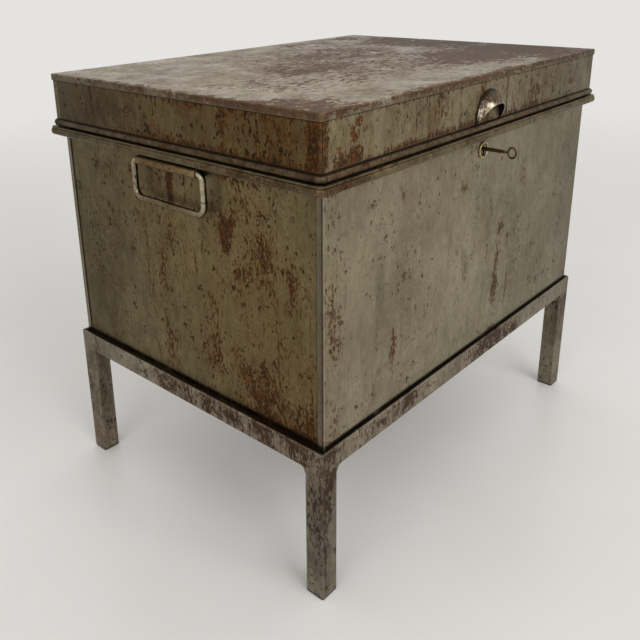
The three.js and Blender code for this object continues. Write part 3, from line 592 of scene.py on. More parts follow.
def strengthAt(places, point):
    x, y, z = point.x / mm, (point.y - middleY) / mm, point.z / mm
    most = 0.0
    for (px, py, pz), (rx, ry, rz), strength in places:
        if abs(x - px) > placeEdge * rx or abs(y - py) > placeEdge * ry:
            continue
        away = math.sqrt(((x - px) / rx) ** 2 + ((y - py) / ry) ** 2 + ((z - pz) / rz) ** 2)
        most = max(most, strength * clamp((placeEdge - away) / placeFade))
    return most


# Marks each point with how far its edge sticks out, for wear, and with the rust, painted shade, warmth, and
# grime with painted shade there.
def paintAgesAndShade(mesh, grimeAndShade):
    with openMesh(mesh) as bm:
        layers = {name: bm.verts.layers.float.new(name) for name in paintedMarks}
        for v in bm.verts:
            angles = [e.calc_face_angle_signed(0) for e in v.link_edges if len(e.link_faces) == 2]
            v[layers["wear"]] = clamp(sum(a for a in angles if a > 0) / fullWearAngle)
            v[layers["rustAge"]] = strengthAt(rustPlaces, v.co)
            v[layers["shade"]] = strengthAt(shadePlaces, v.co)
            v[layers["warmth"]] = strengthAt(warmPlaces, v.co)
            v[layers["grimeAndShade"]] = grimeAndShade(v.co) if grimeAndShade else 0.0


def finishPiece(obj, body, finish, nodes, smoothAngle=32, grimeAndShade=None):
    mesh = obj.data
    with openMesh(mesh) as bm:
        bmesh.ops.remove_doubles(bm, verts=bm.verts, dist=mergeGap)
        bmesh.ops.dissolve_degenerate(bm, dist=mergeGap / 2, edges=bm.edges)
        bmesh.ops.recalc_face_normals(bm, faces=bm.faces)
        bmesh.ops.triangulate(bm, faces=[f for f in bm.faces if len(f.verts) > 4])
    paintAgesAndShade(mesh, grimeAndShade)
    mesh.polygons.foreach_set("use_smooth", [True] * len(mesh.polygons))
    mesh.set_sharp_from_angle(angle=math.radians(smoothAngle))
    mesh.materials.clear()
    mesh.materials.append(finishes[finish])
    mesh.update()
    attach(obj, body)
    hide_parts(*nodes)


# Finishes
def largest(a, b):
    return b if a is None else a.math("MAXIMUM", b)


def ramp(value, low, high, toLow=0.0, toHigh=1.0):
    node = addNode(value.tree, "ShaderNodeMapRange", {0: value, 1: low, 2: high, 3: toLow, 4: toHigh},
                   interpolation_type="SMOOTHSTEP")
    return Field(value.tree, node.outputs[0])


def mixColour(share, a, b):
    a, b = (value if isinstance(value, Field) else (*value, 1.0) for value in (a, b))
    node = addNode(share.tree, "ShaderNodeMix", {0: share, 6: a, 7: b}, data_type="RGBA")
    return Field(share.tree, node.outputs[2])


def mixValue(share, a, b):
    tree = next(value.tree for value in (share, a, b) if isinstance(value, Field))
    return Field(tree, addNode(tree, "ShaderNodeMix", {0: share, 2: a, 3: b}, data_type="FLOAT").outputs[0])


def noiseField(place, scale, detail, roughness, distortion=0.0, stretch=(1, 1, 1), turn=(0, 0, 0)):
    mapped = addNode(place.tree, "ShaderNodeMapping", {"Vector": place, "Scale": stretch, "Rotation": turn})
    field = addNode(place.tree, "ShaderNodeTexNoise", {
        "Vector": mapped, "Scale": scale, "Detail": detail, "Roughness": roughness,
        "Distortion": distortion})
    return Field(place.tree, field.outputs[0])


# Scattered spots: each cell of the field holds one, of its own size, and most cells hold none.
def spotField(place, scale, emptyShare, most, stretch, wobble):
    tree = place.tree
    bent = addNode(tree, "ShaderNodeVectorMath", {0: wobble, "Scale": 1.7 / scale}, operation="SCALE")
    moved = addNode(tree, "ShaderNodeVectorMath", {0: place, 1: bent}, operation="ADD")
    mapped = addNode(tree, "ShaderNodeMapping", {"Vector": moved, "Scale": stretch})
    cells = addNode(tree, "ShaderNodeTexVoronoi", {"Vector": mapped, "Scale": scale}).outputs
    chance = Field(tree, addNode(tree, "ShaderNodeSeparateColor", {0: cells["Color"]}).outputs[0])
    return ramp(chance, emptyShare, 1.0, -0.1, most) - cells["Distance"]


def paintedMark(place, name):
    return Field(place.tree, addNode(place.tree, "ShaderNodeAttribute", attribute_name=name).outputs["Fac"])


# Dirt and painted shade where surfaces meet, within a distance of each other: the more closed in a point is,
# the darker.
def hollowDirtAndShade(place, distance, closed, open, most):
    hollow = addNode(place.tree, "ShaderNodeAmbientOcclusion", {"Distance": distance}, samples=6)
    return ramp(Field(place.tree, hollow.outputs["AO"]), closed, open, most, 0.0)


def bumpFrom(height, strength, distance):
    values = {"Strength": strength, "Distance": distance, "Height": height}
    return addNode(height.tree, "ShaderNodeBump", values)


def newFinish(name):
    material = bpy.data.materials.new(name)
    material.use_nodes = True
    tree = material.node_tree
    place = Field(tree, addNode(tree, "ShaderNodeTexCoord").outputs["Object"])
    return material, tree.nodes["Principled BSDF"], place


def sRgb(red, green, blue):
    def line(c):
        c /= 255
        return c / 12.92 if c <= 0.04045 else ((c + 0.055) / 1.055) ** 2.4
    return tuple(line(c) for c in (red, green, blue))


# Lines that run the length of a sheet: (axis, place, half width, darker or lighter, strength), in
# millimetres. Dark lines are seams, save the band on the body over the rail's top, which is grime and
# painted shade; light lines are worn edges and painted highlights at once.
def seamLines():
    bodyLow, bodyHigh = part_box("body_front_panel")
    wallLow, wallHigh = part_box("lid_front_wall")
    beadLow, beadHigh = (corner.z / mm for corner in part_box("lid_bead_front"))
    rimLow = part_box("body_bead_left")[0].z / mm
    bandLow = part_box("lid_top")[0].z / mm
    x = bodyHigh.x / mm
    y = (middleY - bodyLow.y) / mm
    lap = (bodyHigh.y - bodyLow.y) / mm
    # A dark band on the body just above the rail's top: grime and painted shade of the gap
    railGapGrimeAndShade = (2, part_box("stand_rail_left")[1].z / mm + 1, 5.5, "dark", 1.0)
    wallLines = [(2, bandLow - 0.4, 1.0, "dark", 0.85), (2, wallLow.z / mm + 0.4, 0.9, "dark", 0.55)]
    lines = {
        "frontSheet": [railGapGrimeAndShade],
        "endSheetShaded": [railGapGrimeAndShade],
        "lidFront": [],
        "lidEndShaded": wallLines,
        "lidTop": [(2, bandLow + 0.6, 0.6, "light", 0.6)],
        "beads": [(2, rimLow + 0.9, 0.7, "light", 0.7), (2, rimLow + 1.9, 0.35, "dark", 0.9),
                  (2, beadLow + 1.3, 0.6, "light", 0.5), (2, beadHigh - 0.5, 0.8, "dark", 0.8)],
    }
    # On the front, a dark lap seam and a painted highlight beside each corner bend; on the ends, the dark
    # edge of the front's lap; on the lid front, the dark corner seams
    for side in (-1, 1):
        lines["frontSheet"].append((1, side * (y - 1.5), 0.9, "dark", 0.85))
        lines["frontSheet"].append((0, side * (x - 1.6), 0.8, "light", 0.35))
        lines["endSheetShaded"].append((1, side * (y - lap - 0.7), 1.3, "dark", 0.95))
        lines["lidFront"].append((0, side * wallHigh.x / mm, 1.5, "dark", 1.0))
    lines["lidFront"] += wallLines
    return lines


# Waxed steel: mottled metal with rust specks, patches and drips, bare edges, dirt and painted shade in the
# seams, painted highlights along some edges, and painted shade where marked.
plainSteel = {
    "light": (149, 141, 118), "dark": (110, 102, 82), "tint": (118, 98, 72), "tintShare": 0.22,
    "tones": (0.34, 0.66),
    "speckColour": (64, 46, 27), "speckShare": 0.85, "rustLight": (104, 68, 36), "rustDark": (56, 37, 20),
    "rustBase": 0.008, "patchScale": 75.0, "patchEdge": 0.02, "crumbShare": 0.6, "worn": (164, 156, 134),
    "wornShare": 0.4, "dirtAndShadeShare": 0.9, "roughness": 0.42, "roughSpread": 0.12, "metal": 0.78, "coat": 0.04,
    "bump": 0.35, "upright": True, "streakShare": 0.25, "grainShare": 0.1, "dullShare": 0.15,
    "edgeTint": (0.9, 0.88, 0.84),
}
steelLooks = {
    "frontSheet": {"slot": "body_steel"},
    # The end sheets are a darker olive than the front: partly the steel's own colour, partly painted shade
    # for the ends on the shadow side
    "endSheetShaded": {
        "slot": "end_steel", "light": (123, 111, 79), "dark": (82, 72, 48), "tint": (104, 82, 44),
        "tintShare": 0.25,
        "speckColour": (50, 30, 12), "speckShare": 0.95, "rustLight": (98, 54, 14), "rustDark": (42, 25, 8),
        "rustBase": 0.03, "worn": (130, 116, 86),
    },
    "lidFront": {
        "slot": "body_steel", "light": (148, 136, 108), "dark": (100, 88, 64), "tint": (110, 86, 56),
        "tintShare": 0.3,
        "speckColour": (54, 36, 19), "speckShare": 0.95, "rustLight": (100, 58, 20),
        "rustDark": (48, 29, 12),
        "rustBase": 0.03, "worn": (160, 148, 122),
    },
    # The lid's ends are darker likewise: partly their own colour, partly painted shade
    "lidEndShaded": {
        "slot": "end_steel", "light": (112, 99, 66), "dark": (70, 58, 35), "tint": (88, 64, 34),
        "tintShare": 0.3,
        "speckColour": (44, 26, 10), "speckShare": 1.0, "rustLight": (104, 60, 14), "rustDark": (40, 23, 7),
        "rustBase": 0.02, "worn": (122, 108, 78),
    },
    "lidTop": {
        "slot": "top_steel", "light": (178, 171, 154), "dark": (106, 95, 78), "tint": (112, 84, 58),
        "tintShare": 0.5,
        "tones": (0.38, 0.62), "speckColour": (52, 35, 23), "speckShare": 0.8, "rustLight": (110, 70, 38),
        "rustDark": (58, 35, 17), "rustBase": 0.02, "patchScale": 34.0, "patchEdge": 0.02,
        "crumbShare": 0.62,
        "worn": (128, 110, 84), "wornShare": 0.4,
        "dirtAndShadeShare": 0.5, "roughness": 0.38, "roughSpread": 0.15, "metal": 0.72, "upright": False,
        "streakShare": 0.0, "dullShare": 0.8, "edgeTint": (0.66, 0.61, 0.55), "long": (0.7, 1, 1),
    },
    "beads": {
        "slot": "bead_steel", "light": (112, 99, 70), "dark": (62, 50, 31), "tint": (82, 56, 30),
        "tintShare": 0.5,
        "tones": (0.4, 0.6), "speckColour": (40, 25, 12), "speckShare": 1.0, "rustLight": (84, 50, 20),
        "rustDark": (42, 26, 11), "rustBase": 0.045, "worn": (156, 142, 112), "wornShare": 0.4,
        "dirtAndShadeShare": 1.0,
        "upright": False, "streakShare": 0.0,
    },
    "clip": {
        "slot": "bead_steel", "light": (126, 106, 68), "dark": (66, 53, 31), "tint": (104, 74, 34),
        "tintShare": 0.5,
        "tones": (0.4, 0.6), "speckColour": (44, 28, 13), "speckShare": 1.0, "rustLight": (88, 50, 18),
        "rustDark": (46, 28, 12), "rustBase": 0.045, "worn": (156, 134, 92), "wornShare": 0.4,
        "dirtAndShadeShare": 1.0,
        "upright": False, "streakShare": 0.0,
    },
    "stand": {
        "slot": "stand_steel", "light": (156, 147, 128), "dark": (95, 85, 70), "tint": (96, 72, 54),
        "tintShare": 0.45,
        "speckColour": (46, 33, 22), "speckShare": 0.8, "rustLight": (82, 54, 34), "rustDark": (46, 31, 19),
        "rustBase": 0.04, "worn": (150, 140, 120), "wornShare": 0.45, "dirtAndShadeShare": 0.7,
        "roughness": 0.46, "metal": 0.72, "bump": 0.5, "streakShare": 0.45,
    },
    "innerSteel": {
        "slot": "inner_steel", "light": (114, 107, 92), "dark": (82, 75, 62), "tint": (90, 70, 52),
        "tintShare": 0.4,
        "rustBase": 0.02, "wornShare": 0.5, "roughness": 0.5, "metal": 0.66, "upright": False,
        "streakShare": 0.0,
    },
    "brightSteel": {
        "slot": "bright_steel", "light": (206, 196, 174), "dark": (84, 71, 48), "tint": (84, 64, 38),
        "tintShare": 0.6,
        "tones": (0.47, 0.57), "speckColour": (42, 30, 18), "speckShare": 0.9, "rustLight": (84, 55, 28),
        "rustDark": (50, 33, 18), "rustBase": 0.05, "worn": (214, 206, 188), "wornShare": 0.3,
        "dirtAndShadeShare": 1.0,
        "roughness": 0.24, "metal": 0.92, "bump": 0.3, "streakShare": 0.0,
    },
    "bail": {
        "slot": "bright_steel", "light": (176, 166, 138), "dark": (60, 48, 29), "tint": (110, 84, 38),
        "tintShare": 0.5,
        "tones": (0.38, 0.54), "speckColour": (36, 26, 15), "speckShare": 0.9, "rustLight": (78, 50, 24),
        "rustDark": (44, 29, 15), "rustBase": 0.03, "worn": (220, 211, 192), "wornShare": 0.25,
        "dirtAndShadeShare": 1.0,
        "upright": False, "roughness": 0.23, "metal": 0.95, "bump": 0.25, "streakShare": 0.0,
    },
}
# The steel's noises: scale per metre, detail, roughness and distortion
steelNoises = {
    "cloud": (6.5, 4.0, 0.6, 0.4),
    "blotch": (34.0, 6.0, 0.66, 0.6),
    "mottle": (130.0, 5.0, 0.7, 0.2),
    "stain": (15.0, 8.0, 0.74, 0.8),
    "grain": (240.0, 3.0, 0.6, 0.0),
    "scratchArea": (19.0, 2.0, 0.5, 0.0),
    "run": (105.0, 4.0, 0.6, 0.1),
    "rustTone": (260.0, 6.0, 0.74, 0.0),
    "drip": (34.0, 5.0, 0.66, 0.2),
    "speckCrowd": (9.0, 8.0, 0.8, 0.0),
    "dust": (480.0, 3.0, 0.6, 0.3),
    "smear": (21.0, 4.0, 0.6, 0.6),
    "edgeBreak": (90.0, 4.0, 0.7, 0.0),
    "seamBreak": (40.0, 4.0, 0.7, 0.0),
    "gloss": (26.0, 7.0, 0.68, 0.0),
    "fine": (420.0, 3.0, 0.6, 0.0),
    "wave": (14.0, 2.0, 0.5, 0.0),
}
# The levels of those noises, and of what is made from them, at which a mark starts and is full
steelLevels = {
    "stain": (0.46, 0.68),
    "grain": (0.35, 0.75),
    "scratchArea": (0.56, 0.66),
    "rustRim": (0.575, 0.64),
    "rustTone": (0.43, 0.62),
    "drip": (0.6, 0.76),
    "speckCrowd": (0.35, 0.68),
    "speck": (-0.01, 0.07),
    "dust": (0.61, 0.70),
    "smear": (0.6, 0.74),
    "smearCrumbs": (0.4, 0.6),
    "edgeBreak": (0.3, 0.6),
    "seamBreak": (0.2, 0.5),
    "gloss": (0.32, 0.68),
}
steelMarks = {
    "scratches": (((0.4, 0.3, 0.5), (1, 1, 0.06), 60.0), ((1.1, -0.5, 0.2), (0.07, 1, 1), 48.0)),
    "scratchWidth": 0.006,
    "scratchShare": 0.35,
    "warmthShare": 0.55,
    "rustLevel": 0.632,
    "rustCover": 0.92,
    "rustRimShare": 0.3,
    "paintedPatch": 0.19,
    "paintedRun": 0.13,
    "paintedSpeck": 0.1,
    "specks": ((36.0, 0.7, 0.2), (80.0, 0.56, 0.25), (190.0, 0.42, 0.3)),
    "dustShare": 0.7,
    "seamColour": (20, 15, 10),
    "grimeAndShadeColour": (34, 28, 20),
    "dirtAndShadeColour": (24, 18, 12),
    "shadeShare": 0.5,
    "shadeDarkness": 0.45,
    "dirtAndShadeReach": 8 * mm,
    "rustRoughness": 0.6,
    "bareRoughness": 0.3,
    "dirtMetal": 0.1,
    "coatRoughness": 0.22,
    "specular": 0.12,
    "bumpDepth": 0.6 * mm,
}
steelLines = seamLines()


def steelFinish(name, look):
    material, shader, place = newFinish(name)
    wear, rustAge, shade, warmth, grimeAndShade = (paintedMark(place, key) for key in paintedMarks)
    light, dark, tint, worn = (sRgb(*look[key]) for key in ("light", "dark", "tint", "worn"))
    speckColour, rustLight, rustDark = (sRgb(*look[key]) for key in ("speckColour", "rustLight", "rustDark"))
    marks = steelMarks
    even = (1, 1, 1)
    tall = (1, 1, 0.55) if look["upright"] else (1, 1, 0.85)

    def field(key, stretch=even, turn=(0, 0, 0)):
        return noiseField(place, *steelNoises[key], stretch, turn)

    def level(key, value, toLow=0.0, toHigh=1.0):
        return ramp(value, *steelLevels[key], toLow, toHigh)

    # Clouds of three sizes carry the mill scale's light and dark, and brown stains lie over them
    cloud = field("cloud")
    blotch = field("blotch", tall)
    mottle = field("mottle", tall)
    tone = ramp(mixValue(0.35, mixValue(0.5, cloud, blotch), mottle), *look["tones"])
    colour = mixColour(tone, dark, light)
    warm = level("stain", field("stain", tall), 0.0, look["tintShare"])
    warm = warm.math("ADD", warmth * marks["warmthShare"], True)
    colour = mixColour(warm, colour, tint)

    # Fine grain of the rolled sheet, and thin pale scratches
    grain = field("grain", (1, 1, 0.1) if look["upright"] else (1, 0.3, 0.3))
    colour = mixColour(level("grain", grain, 0.0, look["grainShare"]), colour, speckColour)
    scratches = None
    for turn, stretch, scale in marks["scratches"]:
        line = noiseField(place, scale, 2.0, 0.5, 0.0, stretch, turn)
        thin = ramp(abs(line - 0.5), 0.0, marks["scratchWidth"], 1.0, 0.0)
        scratches = largest(scratches, thin * level("scratchArea", field("scratchArea", even, turn)))
    colour = mixColour(scratches * marks["scratchShare"], colour, worn)

    # Rust patches spread from the marked places and crumble at their edges, and runs hang from them
    long = look.get("long", (1, 1, 0.5) if look["upright"] else even)
    cluster = noiseField(place, 0.4 * look["patchScale"], 5.0, 0.62, 0.3, long)
    crumbs = noiseField(place, 3.8 * look["patchScale"], 8.0, 0.74, 0.2, long)
    age = mixValue(look["crumbShare"], cluster, crumbs) + rustAge * marks["paintedPatch"] + look["rustBase"]
    if look["upright"]:
        run = mixValue(0.35, field("run", (1, 1, 0.07)), crumbs)
        age = largest(age, run + rustAge * marks["paintedRun"])
    rust = ramp(age, marks["rustLevel"], marks["rustLevel"] + look["patchEdge"])
    rustColour = mixColour(level("rustTone", field("rustTone")), rustDark, rustLight)
    colour = mixColour(level("rustRim", age, 0.0, marks["rustRimShare"]), colour, rustLight)
    colour = mixColour(rust * marks["rustCover"], colour, rustColour)

    # Long faint drips on upright sheets
    if look["streakShare"]:
        drips = level("drip", field("drip", (1, 1, 0.06)), 0.0, look["streakShare"])
        colour = mixColour(drips, colour, rustDark)

    # Dark specks, thicker where rust has gathered: scattered spots of three sizes, and a fine dust
    thick = level("speckCrowd", field("speckCrowd"), -0.12, 0.1) + rustAge * marks["paintedSpeck"]
    thick = thick + look["rustBase"] * 1.2
    wobble = addNode(place.tree, "ShaderNodeTexNoise", {"Vector": place, "Scale": 210.0, "Detail": 5.0})
    wobble = wobble.outputs["Color"]
    specks = None
    for scale, emptyShare, most in marks["specks"]:
        spot = spotField(place, scale, emptyShare, most, tall, wobble) + thick
        specks = largest(specks, level("speck", spot, 0.0, look["speckShare"]))
    dust = field("dust", tall) + thick * 0.5
    specks = largest(specks, level("dust", dust, 0.0, marks["dustShare"] * look["speckShare"]))
    colour = mixColour(specks, colour, speckColour)

    # Scuffs: soft dark smears with a crumbled middle
    smear = level("smear", field("smear", tall)) * level("smearCrumbs", crumbs, 0.15, 0.75)
    colour = mixColour(smear, colour, speckColour)

    # Bare edges, broken up by noise, and the lines along the seams, with painted shade over the rail's top
    # and painted highlights in the light lines
    bare = wear * level("edgeBreak", field("edgeBreak")) * look["wornShare"]
    colour = mixColour(bare, colour, worn)
    split = addNode(place.tree, "ShaderNodeSeparateXYZ", {0: place}).outputs
    patchy = level("seamBreak", field("seamBreak"), 0.45, 1.0)
    for axis, at, half, kind, strength in steelLines.get(name, ()):
        centre = at * mm + (middleY if axis == 1 else 0.0)
        away = abs(Field(place.tree, split[axis]) - centre)
        mark = ramp(away, 0.3 * half * mm, half * mm, strength, 0.0) * patchy
        colour = mixColour(mark, colour, sRgb(*marks["seamColour"]) if kind == "dark" else worn)

    # Painted shade from the marked places, grime and painted shade from the grime mark, and dirt and painted
    # shade where surfaces meet
    shadeColour = sRgb(*(c * marks["shadeDarkness"] for c in look["dark"]))
    colour = mixColour(shade * marks["shadeShare"], colour, shadeColour)
    colour = mixColour(grimeAndShade * patchy, colour, sRgb(*marks["grimeAndShadeColour"]))
    dirtAndShade = hollowDirtAndShade(place, marks["dirtAndShadeReach"], 0.2, 0.85, look["dirtAndShadeShare"])
    colour = mixColour(dirtAndShade, colour, sRgb(*marks["dirtAndShadeColour"]))

    dull = largest(rust, specks)
    spread = look["roughSpread"]
    rough = level("gloss", field("gloss"), look["roughness"] - spread, look["roughness"] + spread)
    rough = mixValue(bare, mixValue(dull, rough, marks["rustRoughness"]), marks["bareRoughness"])
    metal = mixValue(largest(dull * look["dullShare"], dirtAndShade), look["metal"], marks["dirtMetal"])
    height = field("fine") * 0.12 + field("wave") * 1.2 + mottle * 0.25
    height = height - specks * 0.3 + rust * crumbs * 0.35
    feed(place.tree, shader, {
        "Base Color": colour, "Roughness": rough, "Metallic": metal, "Specular IOR Level": marks["specular"],
        "Specular Tint": (*look["edgeTint"], 1.0), "Coat Weight": look["coat"],
        "Coat Roughness": marks["coatRoughness"],
        "Normal": bumpFrom(height, look["bump"], marks["bumpDepth"])})
    return material


# Brass of the escutcheon and the lock, and the darker brass of the key
brassLooks = {
    "brass": {
        "slot": "brass", "light": (196, 176, 124), "dark": (122, 104, 66), "grimeAndShade": (44, 38, 26),
        "roughness": 0.28,
    },
    "darkBrass": {
        "slot": "dark_brass", "light": (96, 80, 54), "dark": (46, 37, 26), "grimeAndShade": (26, 20, 15),
        "roughness": 0.36,
    },
}


def brassFinish(name, look):
    material, shader, place = newFinish(name)
    wear, grimeAndShade = paintedMark(place, "wear"), paintedMark(place, "grimeAndShade")
    cloud = ramp(noiseField(place, 160.0, 5.0, 0.65, 0.5), 0.34, 0.66)
    colour = mixColour(largest(cloud, wear * 0.6), sRgb(*look["dark"]), sRgb(*look["light"]))
    # Dirt and painted shade in the hollows, and the grime mark's grime and painted shade
    dirtAndShade = largest(hollowDirtAndShade(place, 3 * mm, 0.25, 0.85, 0.9), grimeAndShade * ramp(cloud, 0.0, 1.0, 1.0, 0.7))
    gloss = noiseField(place, 300.0, 4.0, 0.6)
    feed(place.tree, shader, {
        "Base Color": mixColour(dirtAndShade, colour, sRgb(*look["grimeAndShade"])),
        "Metallic": 0.92,
        "Roughness": ramp(gloss, 0.3, 0.7, look["roughness"] - 0.08, look["roughness"] + 0.14),
        "Normal": bumpFrom(noiseField(place, 700.0, 4.0, 0.6), 0.2, 0.15 * mm)})
    return material


def plasticFinish(name):
    material, shader, place = newFinish(name)
    scuff = ramp(noiseField(place, 220.0, 5.0, 0.7), 0.42, 0.7)
    feed(place.tree, shader, {
        "Base Color": mixColour(scuff, sRgb(30, 29, 27), sRgb(66, 62, 56)),
        "Roughness": ramp(scuff, 0.0, 1.0, 0.5, 0.75),
        "Normal": bumpFrom(noiseField(place, 900.0, 4.0, 0.6), 0.3, 0.2 * mm)})
    return material


finishes = {name: steelFinish(name, {**plainSteel, **look}) for name, look in steelLooks.items()}
finishes.update({name: brassFinish(name, look) for name, look in brassLooks.items()})
finishes["footPlastic"] = plasticFinish("footPlastic")
slotOf = {name: look["slot"] for name, look in {**steelLooks, **brassLooks}.items()}
slotOf["footPlastic"] = "foot_plastic"
print("finishes built:", len(finishes))


# Stand: legs of square tube, feet, and a mitred frame of angle
standSettings = {
    "legCornerRadius": 2.2 * mm,
    "legArcSteps": 4,
    "legSideStep": 12 * mm,
    "legStep": 24 * mm,
    "legGuard": 1 * mm,
    "tubeWall": 2 * mm,
    "filletThickness": 4 * mm,
    "filletInset": 0.15 * mm,
    "filletSink": 1 * mm,
    "filletSteps": 8,
    "railHeel": 0.15 * mm,
    "railToe": 1.2 * mm,
    "railRoot": 3 * mm,
    "railThickness": 3 * mm,
    "railArcSteps": 4,
    "railSectionStep": 9 * mm,
    "railGuard": 1 * mm,
    "railStep": 40 * mm,
    "mitreSteps": 4,
    "footCorner": 2.4 * mm,
    "footArcSteps": 4,
    "footEase": 0.8 * mm,
    "footBase": 3 * mm,
    "footInset": 0.1 * mm,
    "footLip": 0.2 * mm,
    "plugInset": 2.4 * mm,
}
standCorners = {"front_left": (-1, -1), "front_right": (1, -1), "back_left": (-1, 1), "back_right": (1, 1)}
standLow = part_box("stand_rail_left")[0].x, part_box("stand_rail_front")[0].y
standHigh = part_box("stand_rail_right")[1].x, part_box("stand_rail_back")[1].y


def makeLeg(corner, sides, look):
    node, foot = "stand_leg_" + corner, "stand_foot_" + corner
    low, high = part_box(node)
    footLow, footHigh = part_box(foot)
    half = (footHigh.x - footLow.x) / 2
    centre = Vector((middleOf(foot, 0), middleOf(foot, 1)))
    weld = (high.x - low.x) - 2 * half
    square = [(-half, -half), (half, -half), (half, half), (-half, half)]
    outline = roundedPath(square, look["legCornerRadius"], look["legSideStep"], look["legArcSteps"], True)
    inside = [(p - side * look["tubeWall"], side) for p, side in outline]
    zs = levelsBetween(low.z, high.z, look["legStep"], look["legGuard"])
    walls = [(outline, z) for z in zs] + [(inside, z) for z in reversed(zs)]
    rings = [[Vector((p.x + centre.x, p.y + centre.y, z)) for p, side in wall] for wall, z in walls]
    parts = [ringStack(node + "_tube", rings, True)]
    for along in (0, 1):
        parts.append(makeFillet(node, along, sides, centre, half, high.z, weld, look))
    finishPiece(joinObjects(parts, "leg_" + corner), "stand", "stand", [node])


# A ground weld in the corner between a leg and a rail, hollow like a fillet.
def makeFillet(node, along, sides, centre, half, top, size, look):
    toward, across = -sides[along], sides[1 - along]
    profile = [(half - look["filletSink"], 0.0), (half + size, 0.0)]
    for turn in spaced(0.0, math.pi / 2, look["filletSteps"])[1:-1]:
        profile.append((half + size * (1 - math.sin(turn)), -size * (1 - math.cos(turn))))
    profile += [(half, -size), (half - look["filletSink"], -size)]
    rings = []
    for depth in (half - look["filletInset"], half - look["filletThickness"]):
        ring = []
        for a, z in profile:
            place = Vector((centre.x, centre.y, top + z))
            place[along] += toward * a
            place[1 - along] += across * depth
            ring.append(place)
        rings.append(ring)
    return ringStack(node + "_weld", rings)


def makeFoot(corner, look):
    node = "stand_foot_" + corner
    low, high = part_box(node)
    half = (high.x - low.x) / 2
    centre = (middleOf(node, 0), middleOf(node, 1))
    ease, base, inset, plug = look["footEase"], look["footBase"], look["footInset"], look["plugInset"]
    levels = [(0.0, 1.2 * ease), (0.3 * ease, 0.5 * ease), (ease, inset), (base - look["footLip"], inset),
              (base, inset + look["footLip"]), (base, plug), (high.z - ease, plug), (high.z, plug + ease)]
    rings = [roundedRectangle(centre, half, half, look["footCorner"], look["footArcSteps"], z, drawnIn)
             for z, drawnIn in levels]
    finishPiece(ringStack("foot_" + corner, rings), "stand", "footPlastic", [node])


# The angle's section, as (inward, up) from its outer heel, with eased toes and root.
def angleSection(size, look):
    thick, heel, toe, root = (look[key] for key in ("railThickness", "railHeel", "railToe", "railRoot"))
    corners = [(0, 0), (size, 0), (size, thick), (thick, thick), (thick, size), (0, size)]
    radii = [heel, toe, toe, root, toe, toe]
    step, arcSteps, guard = look["railSectionStep"], look["railArcSteps"], look["railGuard"]
    path = roundedPath(corners, radii, step, arcSteps, True, guard)
    return [p for p, side in path]


# A rail is mitred at 45 degrees, and its outer face bends into the mitre with the legs' corner radius.
def makeRail(name, look):
    node = "stand_rail_" + name
    low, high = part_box(node)
    section = angleSection(high.z - low.z, look)
    across = 0 if name in ("left", "right") else 1
    outer = standLow[across] if name in ("left", "front") else standHigh[across]
    inward = 1 if name in ("left", "front") else -1
    first, length = standLow[1 - across], standHigh[1 - across] - standLow[1 - across]
    radius = look["legCornerRadius"]
    mitre = radius * (1 - math.cos(math.pi / 4))
    turns = spaced(math.pi / 4, -math.pi / 4, look["mitreSteps"])[:-1]
    bends = [radius * (1 - math.sin(turn)) for turn in turns]
    middles = spaced(2 * radius, length - 4 * radius, round((length - 4 * radius) / look["railStep"]))
    rings = []
    for d in bends + middles + [length - d for d in reversed(bends)]:
        near = min(d, length - d)
        bend = radius - math.sqrt(max(0.0, radius ** 2 - (radius - near) ** 2)) if near < radius else 0.0
        ring = []
        for a, z in section:
            outerShare = max(0.0, 1 - a / look["railThickness"])
            edge = a + mitre * outerShare
            place = Vector((0, 0, low.z + z))
            place[across] = outer + inward * (a + bend * outerShare)
            place[1 - across] = first + edge + (length - 2 * edge) * (d - mitre) / (length - 2 * mitre)
            ring.append(place)
        rings.append(ring)
    finishPiece(ringStack("rail_" + name, rings), "stand", "stand", [node], 40)


for corner, sides in standCorners.items():
    makeLeg(corner, sides, standSettings)
    makeFoot(corner, standSettings)
for side in ("left", "right", "front", "back"):
    makeRail(side, standSettings)
print("stand made")


# Trunk body: front and back wrap the corners, and the ends slip under their laps
wallDents = {"depth": 0.45 * mm, "scale": 6.5, "fade": 45 * mm, "margin": 6 * mm, "mean": 0.55, "swing": 0.9,
             "seed": (3.1, 0.7, 1.9)}
bodySettings = {
    "bendRadius": 2.4 * mm,
    "lap": 8 * mm,
    "step": 8 * mm,
    "dents": wallDents,
    "flatRoundKey": 60 * mm,
    "trayEase": 0.3 * mm,
    "trayStep": 40 * mm,
}
keyholeSettings = {
    "radius": 2.75 * mm,
    "slotHalf": 1.8 * mm,
    "drop": 8.9 * mm,
    "arcSteps": 24,
    "overrun": 10 * mm,
}


# How deep the gentle hollows of a thin sheet are at a point, with none near the sheet's edges.
def hollowAt(p, edge, dents):
    wave = noise.noise(p * dents["scale"] + Vector(dents["seed"]))
    fade = clamp((edge - dents["margin"]) / dents["fade"])
    return dents["depth"] * (dents["mean"] + dents["swing"] * wave) * fade


# Moves the faces of an upright sheet inward, but not within a reach of the key on the sheet that it passes.
def sheetDent(low, high, dents, keyReach=0.0):
    keyPlace = Vector((0, low.y, keyAxis))

    def dent(p, side):
        axis = 0 if abs(side.y) > 0.5 else 1
        edge = min(p.z - low.z, high.z - p.z, p[axis] - low[axis], high[axis] - p[axis])
        away = clamp(((p - keyPlace).length - keyReach) / (2 * keyReach)) if keyReach else 1.0
        return -hollowAt(p, edge, dents) * away
    return dent


def lappedCorners(low, high, lap, facing):
    if facing < 0:
        return [(low.x, low.y + lap), (low.x, low.y), (high.x, low.y), (high.x, low.y + lap)]
    return [(high.x, high.y - lap), (high.x, high.y), (low.x, high.y), (low.x, high.y - lap)]


